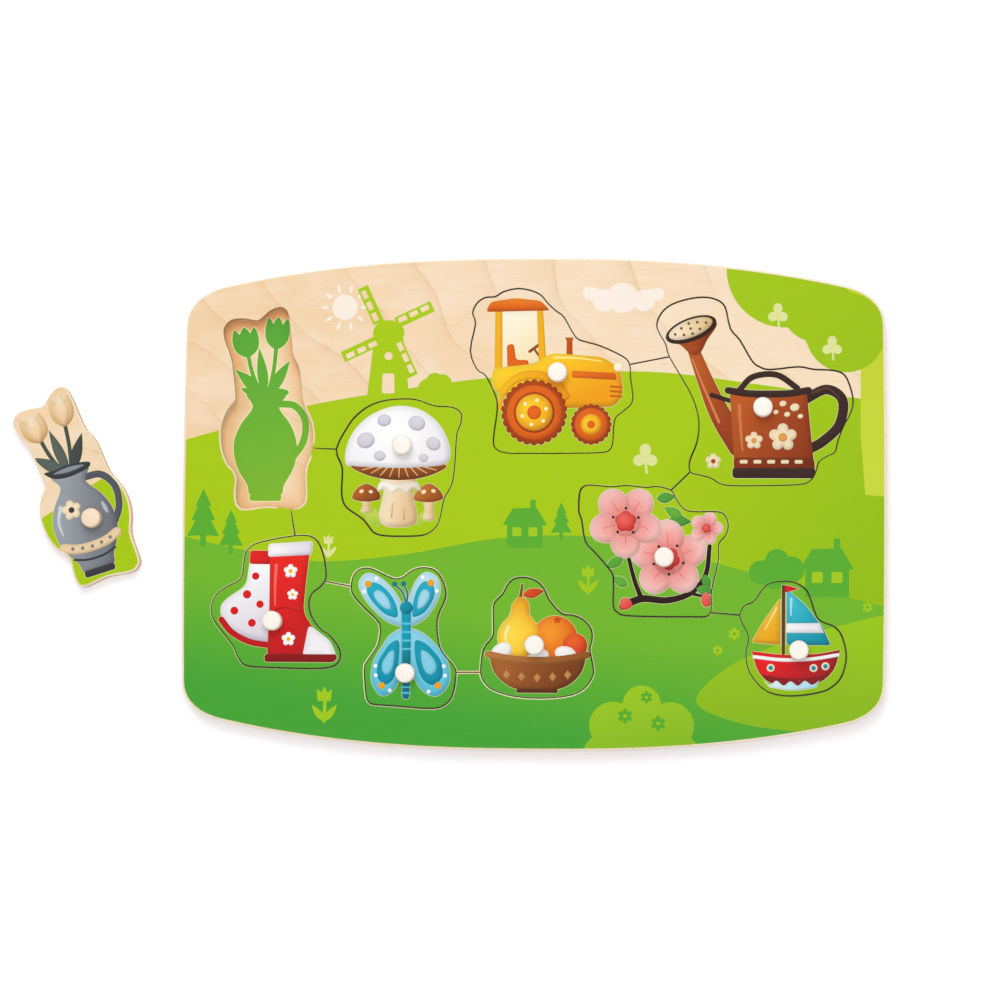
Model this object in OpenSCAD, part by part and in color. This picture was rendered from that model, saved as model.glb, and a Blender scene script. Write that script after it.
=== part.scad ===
// Peg puzzle of two glued plywood sheets, with nine sawn pieces that lift out by turned pegs.
// The origin is the centre of the board's underside, +X along the board and +Y to its far edge.

/* [Board] */
// Length of the board, across the picture
board_w = 300; // [270:5:360]
// Width of the board at its middle
board_h = 210; // [195:5:260]
// Thickness of the upper sheet, which the pieces are sawn from
frame_t = 6; // [4:0.5:10]
// Thickness of the lower sheet, the floor of the openings
backing_t = 3; // [2:0.5:6]
// How far the long edges fall back from their middle to the board's ends
long_bow = 16.2; // [6:0.1:20]
// How far the short edges bulge at their middle
short_bow = 1.2; // [0.5:0.1:4]
// Size of the rounded corners
corner_r = 14; // [10:1:26]
// Rounding of the board's upper rim
rim_r = 1.2; // [0.6:0.1:2]
// Width of the saw cut round each piece and between the openings
saw_kerf = 0.5; // [0.3:0.05:0.8]

/* [Pegs] */
// Diameter of a peg's head
peg_d = 8.3; // [7:0.1:11]
// Height of a peg over the piece's face
peg_height = 6; // [4:0.5:14]
// Rounding of the peg's upper edge
peg_round = 1; // [0.4:0.1:2]
// Diameter of the spigot that is glued into the piece
spigot_d = 5; // [3:0.5:6]
// Room for glue round the spigot
glue_gap = 0.05; // [0.02:0.01:0.1]

/* [Sawn sizes] */
// Width of the jug's sawn line
jug_w = 39.5; // [35:0.1:44]
// Height of the jug's sawn line
jug_h = 86.4; // [76:0.2:90]
// Width of the mushroom's sawn line
mushroom_w = 54; // [48:0.2:58]
// Height of the mushroom's sawn line
mushroom_h = 59.1; // [52:0.2:63]
// Width of the tractor's sawn line
tractor_w = 70.2; // [62:0.2:74]
// Height of the tractor's sawn line
tractor_h = 71; // [63:0.2:76]
// Width of the watering can's sawn line
can_w = 83.8; // [74:0.2:88]
// Height of the watering can's sawn line
can_h = 80.4; // [72:0.2:84]
// Width of the boots' sawn line
boots_w = 56.6; // [50:0.2:60]
// Height of the boots' sawn line
boots_h = 57; // [50:0.2:61]
// Width of the butterfly's sawn line
butterfly_w = 45.9; // [40:0.2:50]
// Height of the butterfly's sawn line
butterfly_h = 60.4; // [54:0.2:63]
// Width of the fruit bowl's sawn line
bowl_w = 48.1; // [42:0.2:52]
// Height of the fruit bowl's sawn line
bowl_h = 51.5; // [46:0.2:56]
// Width of the blossoms' sawn line
blossoms_w = 64.7; // [58:0.2:68]
// Height of the blossoms' sawn line
blossoms_h = 56.1; // [50:0.2:60]
// Width of the sailboat's sawn line
sailboat_w = 44.7; // [40:0.2:49]
// Height of the sailboat's sawn line
sailboat_h = 48.9; // [43:0.2:53]

/* [Jug taken out] */
// Gap on the table between the board's end and the middle of the jug
jug_away = 46.6; // [42:0.2:90]
// How far the jug lies turned, anticlockwise
jug_turn = 18; // [0:1:90]

/* [Hidden] */
// Places of the openings' middles along the board, as shares of its length
jug_along_share = -0.380;
mushroom_along_share = -0.190;
tractor_along_share = 0.025;
can_along_share = 0.314;
boots_along_share = -0.364;
butterfly_along_share = -0.182;
bowl_along_share = 0.009;
blossoms_along_share = 0.171;
sailboat_along_share = 0.369;
// Columns of two openings: the wood left under the lower one and between the two,
// as shares of the width that the two openings leave over
jug_over_boots_shares = [0.509, 0.175];
mushroom_over_butterfly_shares = [0.191, 0.145];
tractor_over_bowl_shares = [0.255, 0.599];
can_over_blossoms_shares = [0.773, 0.003];
can_over_sailboat_shares = [0.293, 0.503];
// Place of the loose jug along the board's width
jug_lies_share = 0.036;

// Places of the pegs, as shares of each sawn size from its lower left
jug_peg_shares = [0.561, 0.316];
mushroom_peg_shares = [0.528, 0.654];
tractor_peg_shares = [0.544, 0.485];
can_peg_shares = [0.543, 0.407];
boots_peg_shares = [0.48, 0.36];
butterfly_peg_shares = [0.53, 0.252];
bowl_peg_shares = [0.477, 0.433];
blossoms_peg_shares = [0.577, 0.451];
sailboat_peg_shares = [0.554, 0.398];

// Sawn lines, clockwise, as shares of each width and height from the lower left
jug_line_shares = [
    [0.022, 0.9], [0.097, 0.936], [0.227, 0.943], [0.364, 0.933], [0.425, 0.944], [0.52, 0.983],
    [0.622, 1], [0.677, 0.992], [0.708, 0.972], [0.734, 0.912], [0.76, 0.794], [0.782, 0.75],
    [0.847, 0.682], [0.888, 0.526], [0.972, 0.432], [1, 0.345], [0.973, 0.265], [0.917, 0.19],
    [0.924, 0.078], [0.92, 0.047], [0.901, 0.026], [0.799, 0], [0.526, 0.014], [0.267, 0],
    [0.187, 0.025], [0.172, 0.09], [0.181, 0.152], [0.132, 0.196], [0.09, 0.214], [0.027, 0.276],
    [0, 0.357], [0.016, 0.432], [0.075, 0.494], [0.148, 0.535], [0.154, 0.563], [0.132, 0.657],
    [0.101, 0.75], [0.027, 0.844]
];
mushroom_line_shares = [
    [0, 0.63], [0.1, 0.81], [0.17, 0.885], [0.26, 0.945], [0.365, 0.98], [0.5, 0.995],
    [0.63, 0.99], [0.775, 0.945], [0.88, 0.94], [0.945, 0.925], [0.99, 0.885], [0.985, 0.815],
    [0.955, 0.74], [0.945, 0.58], [0.93, 0.42], [0.9, 0.34], [0.86, 0.275], [0.83, 0.14],
    [0.805, 0.08], [0.75, 0.03], [0.67, 0.005], [0.5, 0], [0.38, 0.005], [0.3, 0.03],
    [0.22, 0.12], [0.095, 0.2], [0.055, 0.26], [0.045, 0.34], [0.048, 0.495]
];
tractor_line_shares = [
    [0.022, 0.85], [0.05, 0.91], [0.1, 0.943], [0.16, 0.948], [0.21, 0.978], [0.3, 0.997],
    [0.385, 0.982], [0.44, 0.955], [0.48, 0.908], [0.53, 0.862], [0.58, 0.822], [0.65, 0.704],
    [0.71, 0.675], [0.8, 0.65], [0.94, 0.585], [0.98, 0.535], [0.985, 0.455], [1, 0.353],
    [0.988, 0.298], [0.933, 0.25], [0.89, 0.204], [0.88, 0.07], [0.86, 0.025], [0.81, 0.008],
    [0.6, 0.003], [0.35, 0.002], [0.233, 0.005], [0.17, 0.03], [0.155, 0.09], [0.177, 0.266],
    [0.164, 0.353], [0.105, 0.47], [0.052, 0.508], [0.01, 0.62], [0.04, 0.784]
];
can_line_shares = [
    [0.004, 0.85], [0.028, 0.912], [0.08, 0.957], [0.162, 0.985], [0.238, 0.995], [0.304, 0.983],
    [0.35, 0.943], [0.377, 0.828], [0.425, 0.767], [0.486, 0.658], [0.523, 0.626], [0.58, 0.61],
    [0.72, 0.625], [0.8, 0.611], [0.895, 0.606], [0.953, 0.582], [0.985, 0.51], [0.997, 0.433],
    [0.98, 0.37], [0.946, 0.304], [0.92, 0.228], [0.907, 0.175], [0.866, 0.152], [0.826, 0.122],
    [0.812, 0.076], [0.785, 0.026], [0.72, 0.002], [0.45, -0.005], [0.34, 0.002], [0.282, 0.035],
    [0.22, 0.053], [0.177, 0.068], [0.175, 0.129], [0.209, 0.22], [0.22, 0.31], [0.209, 0.395],
    [0.169, 0.5], [0.07, 0.676], [0.05, 0.745], [0.019, 0.8]
];
boots_line_shares = [
    [0.636, 1], [0.783, 0.984], [0.852, 0.87], [0.878, 0.718], [0.868, 0.66], [0.83, 0.613],
    [0.775, 0.57], [0.75, 0.502], [0.76, 0.426], [0.793, 0.36], [0.849, 0.295], [0.912, 0.254],
    [0.988, 0.146], [0.974, 0.047], [0.84, 0.006], [0.45, 0.012], [0.308, 0.02], [0.247, 0.044],
    [0.203, 0.112], [0.173, 0.178], [0.04, 0.346], [0.009, 0.426], [0.016, 0.5], [0.05, 0.562],
    [0.119, 0.613], [0.2, 0.653], [0.24, 0.704], [0.258, 0.853], [0.29, 0.905], [0.37, 0.949]
];
butterfly_line_shares = [
    [0.025, 0.923], [0.073, 0.974], [0.14, 0.991], [0.22, 0.98], [0.398, 0.92], [0.485, 0.925],
    [0.552, 0.962], [0.619, 0.988], [0.705, 0.996], [0.791, 0.978], [0.852, 0.923], [0.89, 0.85],
    [0.89, 0.777], [0.816, 0.63], [0.833, 0.47], [0.872, 0.397], [0.987, 0.288], [0.99, 0.2],
    [0.969, 0.112], [0.925, 0.051], [0.791, 0.005], [0.408, 0.022], [0.245, 0.03], [0.188, 0.047],
    [0.159, 0.102], [0.142, 0.28], [0.172, 0.339], [0.232, 0.404], [0.274, 0.473], [0.278, 0.6],
    [0.13, 0.714], [0.018, 0.82]
];
bowl_line_shares = [
    [0, 0.21], [0.02, 0.394], [0.1, 0.5], [0.11, 0.58], [0.106, 0.74], [0.13, 0.8],
    [0.189, 0.857], [0.23, 0.93], [0.28, 0.978], [0.35, 0.994], [0.434, 0.985], [0.5, 0.956],
    [0.559, 0.896], [0.605, 0.806], [0.71, 0.699], [0.803, 0.685], [0.88, 0.66], [0.94, 0.616],
    [0.98, 0.55], [0.98, 0.47], [0.964, 0.4], [0.997, 0.236], [0.98, 0.166], [0.928, 0.093],
    [0.839, 0.039], [0.7, 0.01], [0.5, 0], [0.33, 0.01], [0.2, 0.035], [0.09, 0.076], [0.028, 0.134]
];
blossoms_line_shares = [
    [0.019, 0.933], [0.04, 0.983], [0.092, 1], [0.223, 0.987], [0.332, 0.997], [0.45, 0.983],
    [0.53, 0.99], [0.62, 0.961], [0.65, 0.903], [0.697, 0.827], [0.762, 0.8], [0.923, 0.8],
    [0.974, 0.768], [0.994, 0.7], [0.981, 0.625], [0.94, 0.571], [0.93, 0.516], [0.93, 0.424],
    [0.886, 0.197], [0.886, 0.096], [0.879, 0.037], [0.845, 0.007], [0.75, 0.005], [0.5, 0.005],
    [0.325, 0.012], [0.274, 0.034], [0.245, 0.084], [0.245, 0.28], [0.223, 0.353], [0.121, 0.49],
    [0.06, 0.57], [0.034, 0.734], [0.015, 0.802]
];
sailboat_line_shares = [
    [0, 0.7], [0.016, 0.75], [0.056, 0.79], [0.112, 0.81], [0.161, 0.853], [0.2, 0.91],
    [0.26, 0.966], [0.34, 0.99], [0.444, 0.996], [0.532, 0.978], [0.6, 0.94], [0.65, 0.879],
    [0.719, 0.696], [0.78, 0.645], [0.875, 0.612], [0.939, 0.558], [0.979, 0.47], [1, 0.36],
    [0.987, 0.258], [0.95, 0.166], [0.883, 0.098], [0.772, 0.044], [0.5, 0.006], [0.26, 0.042],
    [0.1, 0.193], [0.056, 0.36], [0.081, 0.51], [0.018, 0.635]
];

board_top = backing_t + frame_t;
half_w = board_w / 2;
half_h = board_h / 2;

// Middles of the lower and of the upper opening of a column, across the board
function low_place(shares, upper_h, lower_h) =
    -half_h + shares[0] * (board_h - upper_h - lower_h) + lower_h / 2;
function high_place(shares, upper_h, lower_h) =
    low_place(shares, upper_h, lower_h) + shares[1] * (board_h - upper_h - lower_h)
    + (upper_h + lower_h) / 2;

// Each sawn piece: its size, the middle of its opening, its line and its peg
jug = [
    [jug_w, jug_h],
    [jug_along_share * board_w, high_place(jug_over_boots_shares, jug_h, boots_h)],
    jug_line_shares, jug_peg_shares
];
mushroom = [
    [mushroom_w, mushroom_h],
    [mushroom_along_share * board_w, high_place(mushroom_over_butterfly_shares, mushroom_h, butterfly_h)],
    mushroom_line_shares, mushroom_peg_shares
];
tractor = [
    [tractor_w, tractor_h],
    [tractor_along_share * board_w, high_place(tractor_over_bowl_shares, tractor_h, bowl_h)],
    tractor_line_shares, tractor_peg_shares
];
can = [
    [can_w, can_h],
    [can_along_share * board_w, high_place(can_over_sailboat_shares, can_h, sailboat_h)],
    can_line_shares, can_peg_shares
];
boots = [
    [boots_w, boots_h],
    [boots_along_share * board_w, low_place(jug_over_boots_shares, jug_h, boots_h)],
    boots_line_shares, boots_peg_shares
];
butterfly = [
    [butterfly_w, butterfly_h],
    [butterfly_along_share * board_w, low_place(mushroom_over_butterfly_shares, mushroom_h, butterfly_h)],
    butterfly_line_shares, butterfly_peg_shares
];
bowl = [
    [bowl_w, bowl_h],
    [bowl_along_share * board_w, low_place(tractor_over_bowl_shares, tractor_h, bowl_h)],
    bowl_line_shares, bowl_peg_shares
];
blossoms = [
    [blossoms_w, blossoms_h],
    [blossoms_along_share * board_w, low_place(can_over_blossoms_shares, can_h, blossoms_h)],
    blossoms_line_shares, blossoms_peg_shares
];
sailboat = [
    [sailboat_w, sailboat_h],
    [sailboat_along_share * board_w, low_place(can_over_sailboat_shares, can_h, sailboat_h)],
    sailboat_line_shares, sailboat_peg_shares
];
shapes = [jug, mushroom, tractor, can, boots, butterfly, bowl, blossoms, sailboat];

// Saw cuts between openings: from a point in one to a point in the next, as shares of their sizes
links = [
    [jug, [0.97, 0.30], mushroom, [0.02, 0.63]],
    [jug, [0.76, 0.02], boots, [0.64, 0.98]],
    [boots, [0.86, 0.66], butterfly, [0.03, 0.86]],
    [butterfly, [0.97, 0.26], bowl, [0.02, 0.21]],
    [tractor, [0.97, 0.535], can, [0.08, 0.68]],
    [can, [0.19, 0.08], blossoms, [0.61, 0.95]],
    [blossoms, [0.87, 0.04], sailboat, [0.02, 0.70]]
];

// How sharply the long edges turn down towards the ends
bow_power = 2.5;
// Where a corner begins along the long and the short edge, and how far its curve keeps
// to each edge's direction, as shares of the corner's size
long_start_share = 1.3;
short_start_share = 0.9;
corner_hold_share = 0.7;
// Chords to each span of a sawn line, to each edge of the board and to each of its corners
line_steps = 3;
edge_steps = 14;
corner_steps = 8;
rim_steps = 3;
peg_steps = 6;
// How far cutting solids reach past what they cut
overrun = 1;
round_fn = 64;

// A point on the smooth curve from b to c, with a before them and d after
function curve_point(a, b, c, d, t) =
    (
        2 * b + (c - a) * t + (2 * a - 5 * b + 4 * c - d) * pow(t, 2)
        + (3 * (b - c) + d - a) * pow(t, 3)
    ) / 2;

// A smooth closed line through the points
function smooth_loop(points) =
    let (n = len(points))
    [
        for (i = [0 : n - 1], s = [0 : line_steps - 1])
            curve_point(
                points[(i + n - 1) % n], points[i], points[(i + 1) % n], points[(i + 2) % n],
                s / line_steps
            )
    ];

// A clockwise closed line moved outward by a distance, or inward where it is negative
function shifted(points, distance) =
    let (n = len(points))
    [
        for (i = [0 : n - 1])
            let (along = points[(i + 1) % n] - points[(i + n - 1) % n])
            points[i] + [-along.y, along.x] * distance / norm(along)
    ];

// A place given in shares of a shape's size, in the board's plane
function place(shape, shares) =
    shape[1] + [(shares.x - 0.5) * shape[0].x, (shares.y - 0.5) * shape[0].y];

function sawn_line(shape) = smooth_loop([for (p = shape[2]) place(shape, p)]);

// The long and short edges of the board, drawn inward by a distance
function long_edge(x, inset) = half_h - inset - long_bow * pow(x / half_w, bow_power);
function short_edge(y, inset) = half_w - inset - short_bow * pow(y / half_h, 2);

// A quarter of the board's line, from the middle of its far edge round to the middle of its right end
function board_quarter(inset) =
    let (
        x_end = half_w - corner_r * long_start_share,
        y_end = half_h - long_bow - corner_r * short_start_share,
        a = [x_end, long_edge(x_end, inset)],
        d = [short_edge(y_end, inset), y_end],
        falling = [1, -long_bow * bow_power / half_w * pow(x_end / half_w, bow_power - 1)],
        rising = [-2 * short_bow * y_end / pow(half_h, 2), 1],
        b = a + falling / norm(falling) * corner_r * corner_hold_share,
        c = d + rising / norm(rising) * corner_r * corner_hold_share
    )
    concat(
        [for (i = [0 : edge_steps - 1]) let (x = x_end * i / edge_steps) [x, long_edge(x, inset)]],
        [
            for (i = [0 : corner_steps - 1])
                let (t = i / corner_steps, u = 1 - t)
                a * pow(u, 3) + b * 3 * pow(u, 2) * t + c * 3 * u * pow(t, 2) + d * pow(t, 3)
        ],
        [for (i = [edge_steps : -2 : 2]) let (y = y_end * i / edge_steps) [short_edge(y, inset), y]],
        [[short_edge(0, inset), 0]]
    );

function reversed(points) = [for (i = [len(points) - 1 : -1 : 0]) points[i]];
function all_but_ends(points) = [for (i = [1 : len(points) - 2]) points[i]];

// The whole line of the board, clockwise from the middle of its far edge
function board_line(inset) =
    let (
        far_right = board_quarter(inset),
        near_right = [for (p = reversed(far_right)) [p.x, -p.y]],
        right = concat(far_right, [for (i = [1 : len(near_right) - 1]) near_right[i]]),
        left = [for (p = all_but_ends(reversed(right))) [-p.x, p.y]]
    )
    concat(right, left);

// A flat sheet of one outline, between two heights
module sheet(points, bottom, top) {
    translate([0, 0, bottom]) linear_extrude(top - bottom) polygon(points);
}

// A saw cut between two places, from below the upper sheet to over it
module saw_cut(from, to) {
    run = to - from;
    translate([from.x, from.y, backing_t - overrun])
        rotate([0, 0, atan2(run.y, run.x)])
            translate([0, -saw_kerf / 2, 0])
                cube([norm(run), saw_kerf, frame_t + 2 * overrun]);
}

// Where a shape's own piece rests: in its opening, or on the table for the jug
module at_rest(shape) {
    if (shape == jug)
        translate([-half_w - jug_away, jug_lies_share * board_h, 0])
            rotate([0, 0, jug_turn])
                translate([-shape[1].x, -shape[1].y, 0])
                    children();
    else
        translate([0, 0, backing_t]) children();
}

// The upper sheet: rounded along its upper rim, with the openings and the saw cuts between them
module frame_board() {
    color("yellowgreen")
        difference() {
            hull() {
                sheet(board_line(0), backing_t, board_top - rim_r);
                for (i = [1 : rim_steps])
                    let (
                        turn = 90 * i / rim_steps,
                        sunk = rim_r * (1 - sin(turn)),
                        inset = rim_r * (1 - cos(turn))
                    )
                    sheet(board_line(inset), backing_t, board_top - sunk);
            }
            for (s = shapes)
                sheet(shifted(sawn_line(s), saw_kerf / 2), backing_t - overrun, board_top + overrun);
            for (l = links)
                saw_cut(place(l[0], l[1]), place(l[2], l[3]));
        }
}

module backing_board() {
    color("burlywood") sheet(board_line(0), 0, backing_t);
}

// A sawn piece, with the drilled hole for its peg's spigot
module piece(shape, paint) {
    hole = place(shape, shape[3]);
    color(paint)
        at_rest(shape)
            difference() {
                sheet(shifted(sawn_line(shape), -saw_kerf / 2), 0, frame_t);
                translate([hole.x, hole.y, -overrun])
                    cylinder(d = spigot_d + 2 * glue_gap, h = frame_t + 2 * overrun, $fn = round_fn);
            }
}

// A turned peg: a head that stands on the piece's face, and a spigot through it
module peg(shape) {
    middle = place(shape, shape[3]);
    top = frame_t + peg_height;
    color("linen")
        at_rest(shape)
            translate([middle.x, middle.y, 0])
                rotate_extrude($fn = round_fn)
                    polygon(concat(
                        [[0, 0], [spigot_d / 2, 0], [spigot_d / 2, frame_t], [peg_d / 2, frame_t]],
                        [
                            for (i = [0 : peg_steps])
                                let (turn = 90 * i / peg_steps)
                                [
                                    peg_d / 2 - peg_round * (1 - cos(turn)),
                                    top - peg_round * (1 - sin(turn))
                                ]
                        ],
                        [[0, top]]
                    ));
}

frame_board();
backing_board();
piece(jug, "slategray");  // jug_piece
piece(mushroom, "whitesmoke");  // mushroom_piece
piece(tractor, "gold");  // tractor_piece
piece(can, "sienna");  // watering_can_piece
piece(boots, "crimson");  // boots_piece
piece(butterfly, "skyblue");  // butterfly_piece
piece(bowl, "darkorange");  // fruit_bowl_piece
piece(blossoms, "pink");  // blossoms_piece
piece(sailboat, "firebrick");  // sailboat_piece
peg(jug);  // jug_peg
peg(mushroom);  // mushroom_peg
peg(tractor);  // tractor_peg
peg(can);  // watering_can_peg
peg(boots);  // boots_peg
peg(butterfly);  // butterfly_peg
peg(bowl);  // fruit_bowl_peg
peg(blossoms);  // blossoms_peg
peg(sailboat);  // sailboat_peg
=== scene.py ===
import math
from functools import partial

import bmesh
import bpy
import numpy as np
from mathutils import Matrix, Vector
from mathutils.geometry import delaunay_2d_cdt


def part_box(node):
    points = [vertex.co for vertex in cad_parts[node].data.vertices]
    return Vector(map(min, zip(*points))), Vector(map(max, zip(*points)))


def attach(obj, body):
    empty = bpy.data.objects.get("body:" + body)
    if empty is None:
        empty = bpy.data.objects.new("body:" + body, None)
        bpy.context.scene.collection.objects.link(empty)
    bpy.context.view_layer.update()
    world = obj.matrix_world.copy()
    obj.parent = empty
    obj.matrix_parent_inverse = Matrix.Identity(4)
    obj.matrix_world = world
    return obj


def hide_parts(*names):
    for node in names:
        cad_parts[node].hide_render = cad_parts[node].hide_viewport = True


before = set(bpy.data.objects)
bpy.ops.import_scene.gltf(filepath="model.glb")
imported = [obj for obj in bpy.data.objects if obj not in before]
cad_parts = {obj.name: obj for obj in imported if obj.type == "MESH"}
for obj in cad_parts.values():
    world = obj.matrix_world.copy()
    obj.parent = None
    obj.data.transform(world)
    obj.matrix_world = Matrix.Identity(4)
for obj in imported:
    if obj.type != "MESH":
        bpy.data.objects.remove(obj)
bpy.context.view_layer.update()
mm = 0.001
print("frame loaded")

# Camera, as the photograph was taken: nearly straight down from 1.5 m

cameraView = {
    "distance": 1500,            # mm, from the middle of the board's face
    "faceHeight": 9,             # mm, the board's face over the table
    "tilt": -4.0,                # degrees about the picture's level line
    "swing": -4.22,              # degrees about its upright line
    "roll": -0.45,
    "boardMiddle": (532.1, 503.4),   # where the middle of the board falls in the picture
    "scale": 2.3513,             # picture points to a mm at that distance
    "picture": 1000,             # the picture's width and height
    "sensor": 36,
}


def placeCamera(view):
    focal = view["distance"] * view["scale"]
    half = view["picture"] / 2
    turned = (
        Matrix.Rotation(math.radians(view["roll"]), 3, "Z")
        @ Matrix.Rotation(math.radians(view["tilt"]), 3, "X")
        @ Matrix.Rotation(math.radians(view["swing"]), 3, "Y")
    )
    away = Vector((
        (view["boardMiddle"][0] - half) / focal * view["distance"],
        -(view["boardMiddle"][1] - half) / focal * view["distance"],
        -view["distance"],
    ))
    back = turned.transposed()
    data = bpy.data.cameras.new("camera")
    data.lens = view["sensor"] * focal / view["picture"]
    data.sensor_width = view["sensor"]
    data.clip_end = 20
    camera = bpy.data.objects.new("camera", data)
    camera.matrix_world = (
        Matrix.Translation((Vector((0, 0, view["faceHeight"])) - back @ away) * mm) @ back.to_4x4()
    )
    bpy.context.scene.collection.objects.link(camera)
    bpy.context.scene.camera = camera


placeCamera(cameraView)


# Colours, nodes and materials


def fromHex(code):
    return np.array([int(code[i:i + 2], 16) / 255 for i in (1, 3, 5)])


def toLinear(shades):
    return np.where(shades <= 0.04045, shades / 12.92, ((shades + 0.055) / 1.055) ** 2.4)


def colour(code):
    return (*toLinear(fromHex(code)), 1)


def feed(tree, socket, value):   # a constant, a socket, or a node for its first output in use
    if isinstance(value, bpy.types.Node):
        value = next(output for output in value.outputs if output.enabled)
    if isinstance(value, bpy.types.NodeSocket):
        tree.links.new(value, socket)
    else:
        socket.default_value = value


def addNode(tree, kind, inputs=None, **settings):
    node = tree.nodes.new(kind)
    for name, value in settings.items():
        setattr(node, name, value)
    for key, value in (inputs or {}).items():
        feed(tree, node.inputs[key], value)
    return node


def newMaterial(name):           # an empty material, and what adds a node to it
    material = bpy.data.materials.new(name)
    material.use_nodes = True
    material.node_tree.nodes.clear()
    return material, partial(addNode, material.node_tree)


# Printed birch plywood: a pale sanded face veneer with a few warm growth lines and level fibres, flat
# screen-print inks that let a trace of the grain through, paler where its edges are sanded round, sawn
# edges with light and dark plies, and a satin water lacquer over all. Attributes of the mesh carry the
# print and the place in the sheet, so the grain runs on from the board into the pieces sawn out of it.
plywood = {
    "wood": "#FBE5C6",           # face veneer
    "woodWarm": "#F5D3A8",       # the same where the cut runs along a summer ring
    "growthLine": "#DFA566",
    "figure": "#FBE8D2",         # where the fibres rise towards the eye
    "fibre": "#DDB58A",
    "fleck": "#C08A58",
    "sanded": "#FFF6DC",         # edges rounded with sandpaper, their fibres cut across
    "along": "#F6E0BE",          # plies cut along their grain
    "across": "#E9C795",         # plies cut across it
    "glue": "#B58A5C",
    "ply": 1.2,                  # mm, thickness of one ply
    "shift": (0, 0, 0),          # mm, which part of the log the sheet was peeled from
    "growthWay": (0.7, 0.63, 0.05),
    "growthSpace": 21,           # mm, between growth lines
    "swaySpace": 100,            # mm, from one bend of the lines to the next but one
    "sway": -5.9,                # mm
    "driftScale": 0.018,         # per mm, broad wandering of the lines
    "drift": 26.0,               # mm
    "waverScale": 0.25,          # and a fine one
    "waver": 1.4,
    "lineLevels": ((0.5, 0.08), (0.8, 0.26), (0.93, 0.5), (0.965, 1.0), (0.985, 0.5)),   # across its space
    "lineShares": (0.1, 0.38),   # least and most
    "patchShares": (0.9, 0.1),   # warm wood, from the left end of the log to the right
    "figureShare": 0.5,
    "fibreShare": 0.2,
    "fleckShare": 0.2,
    "flecked": 0.72,             # the share of places without a fleck
    "wornInk": 0.985,            # cover of the ink over the coarsest fibres
    "pinhole": 0.8,              # and over a pinhole
    "markShare": 0.55,           # of the saw's upright marks
    "glueLine": 0.05,            # of a ply
    "fibreWidth": 0.45,          # mm, as fine as the picture shows
    "fleckSpace": 3.2,           # mm
    "lacquer": 0.4,              # roughness over the print
    "bare": 0.5,                 # roughness over bare wood
    "sawn": 0.72,                # roughness of the edges
    "uneven": 0.12,              # how much the roughness varies
    "shine": 0.08,
    "bump": 0.3,
    "bumpDepth": 0.08,           # mm
}


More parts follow.
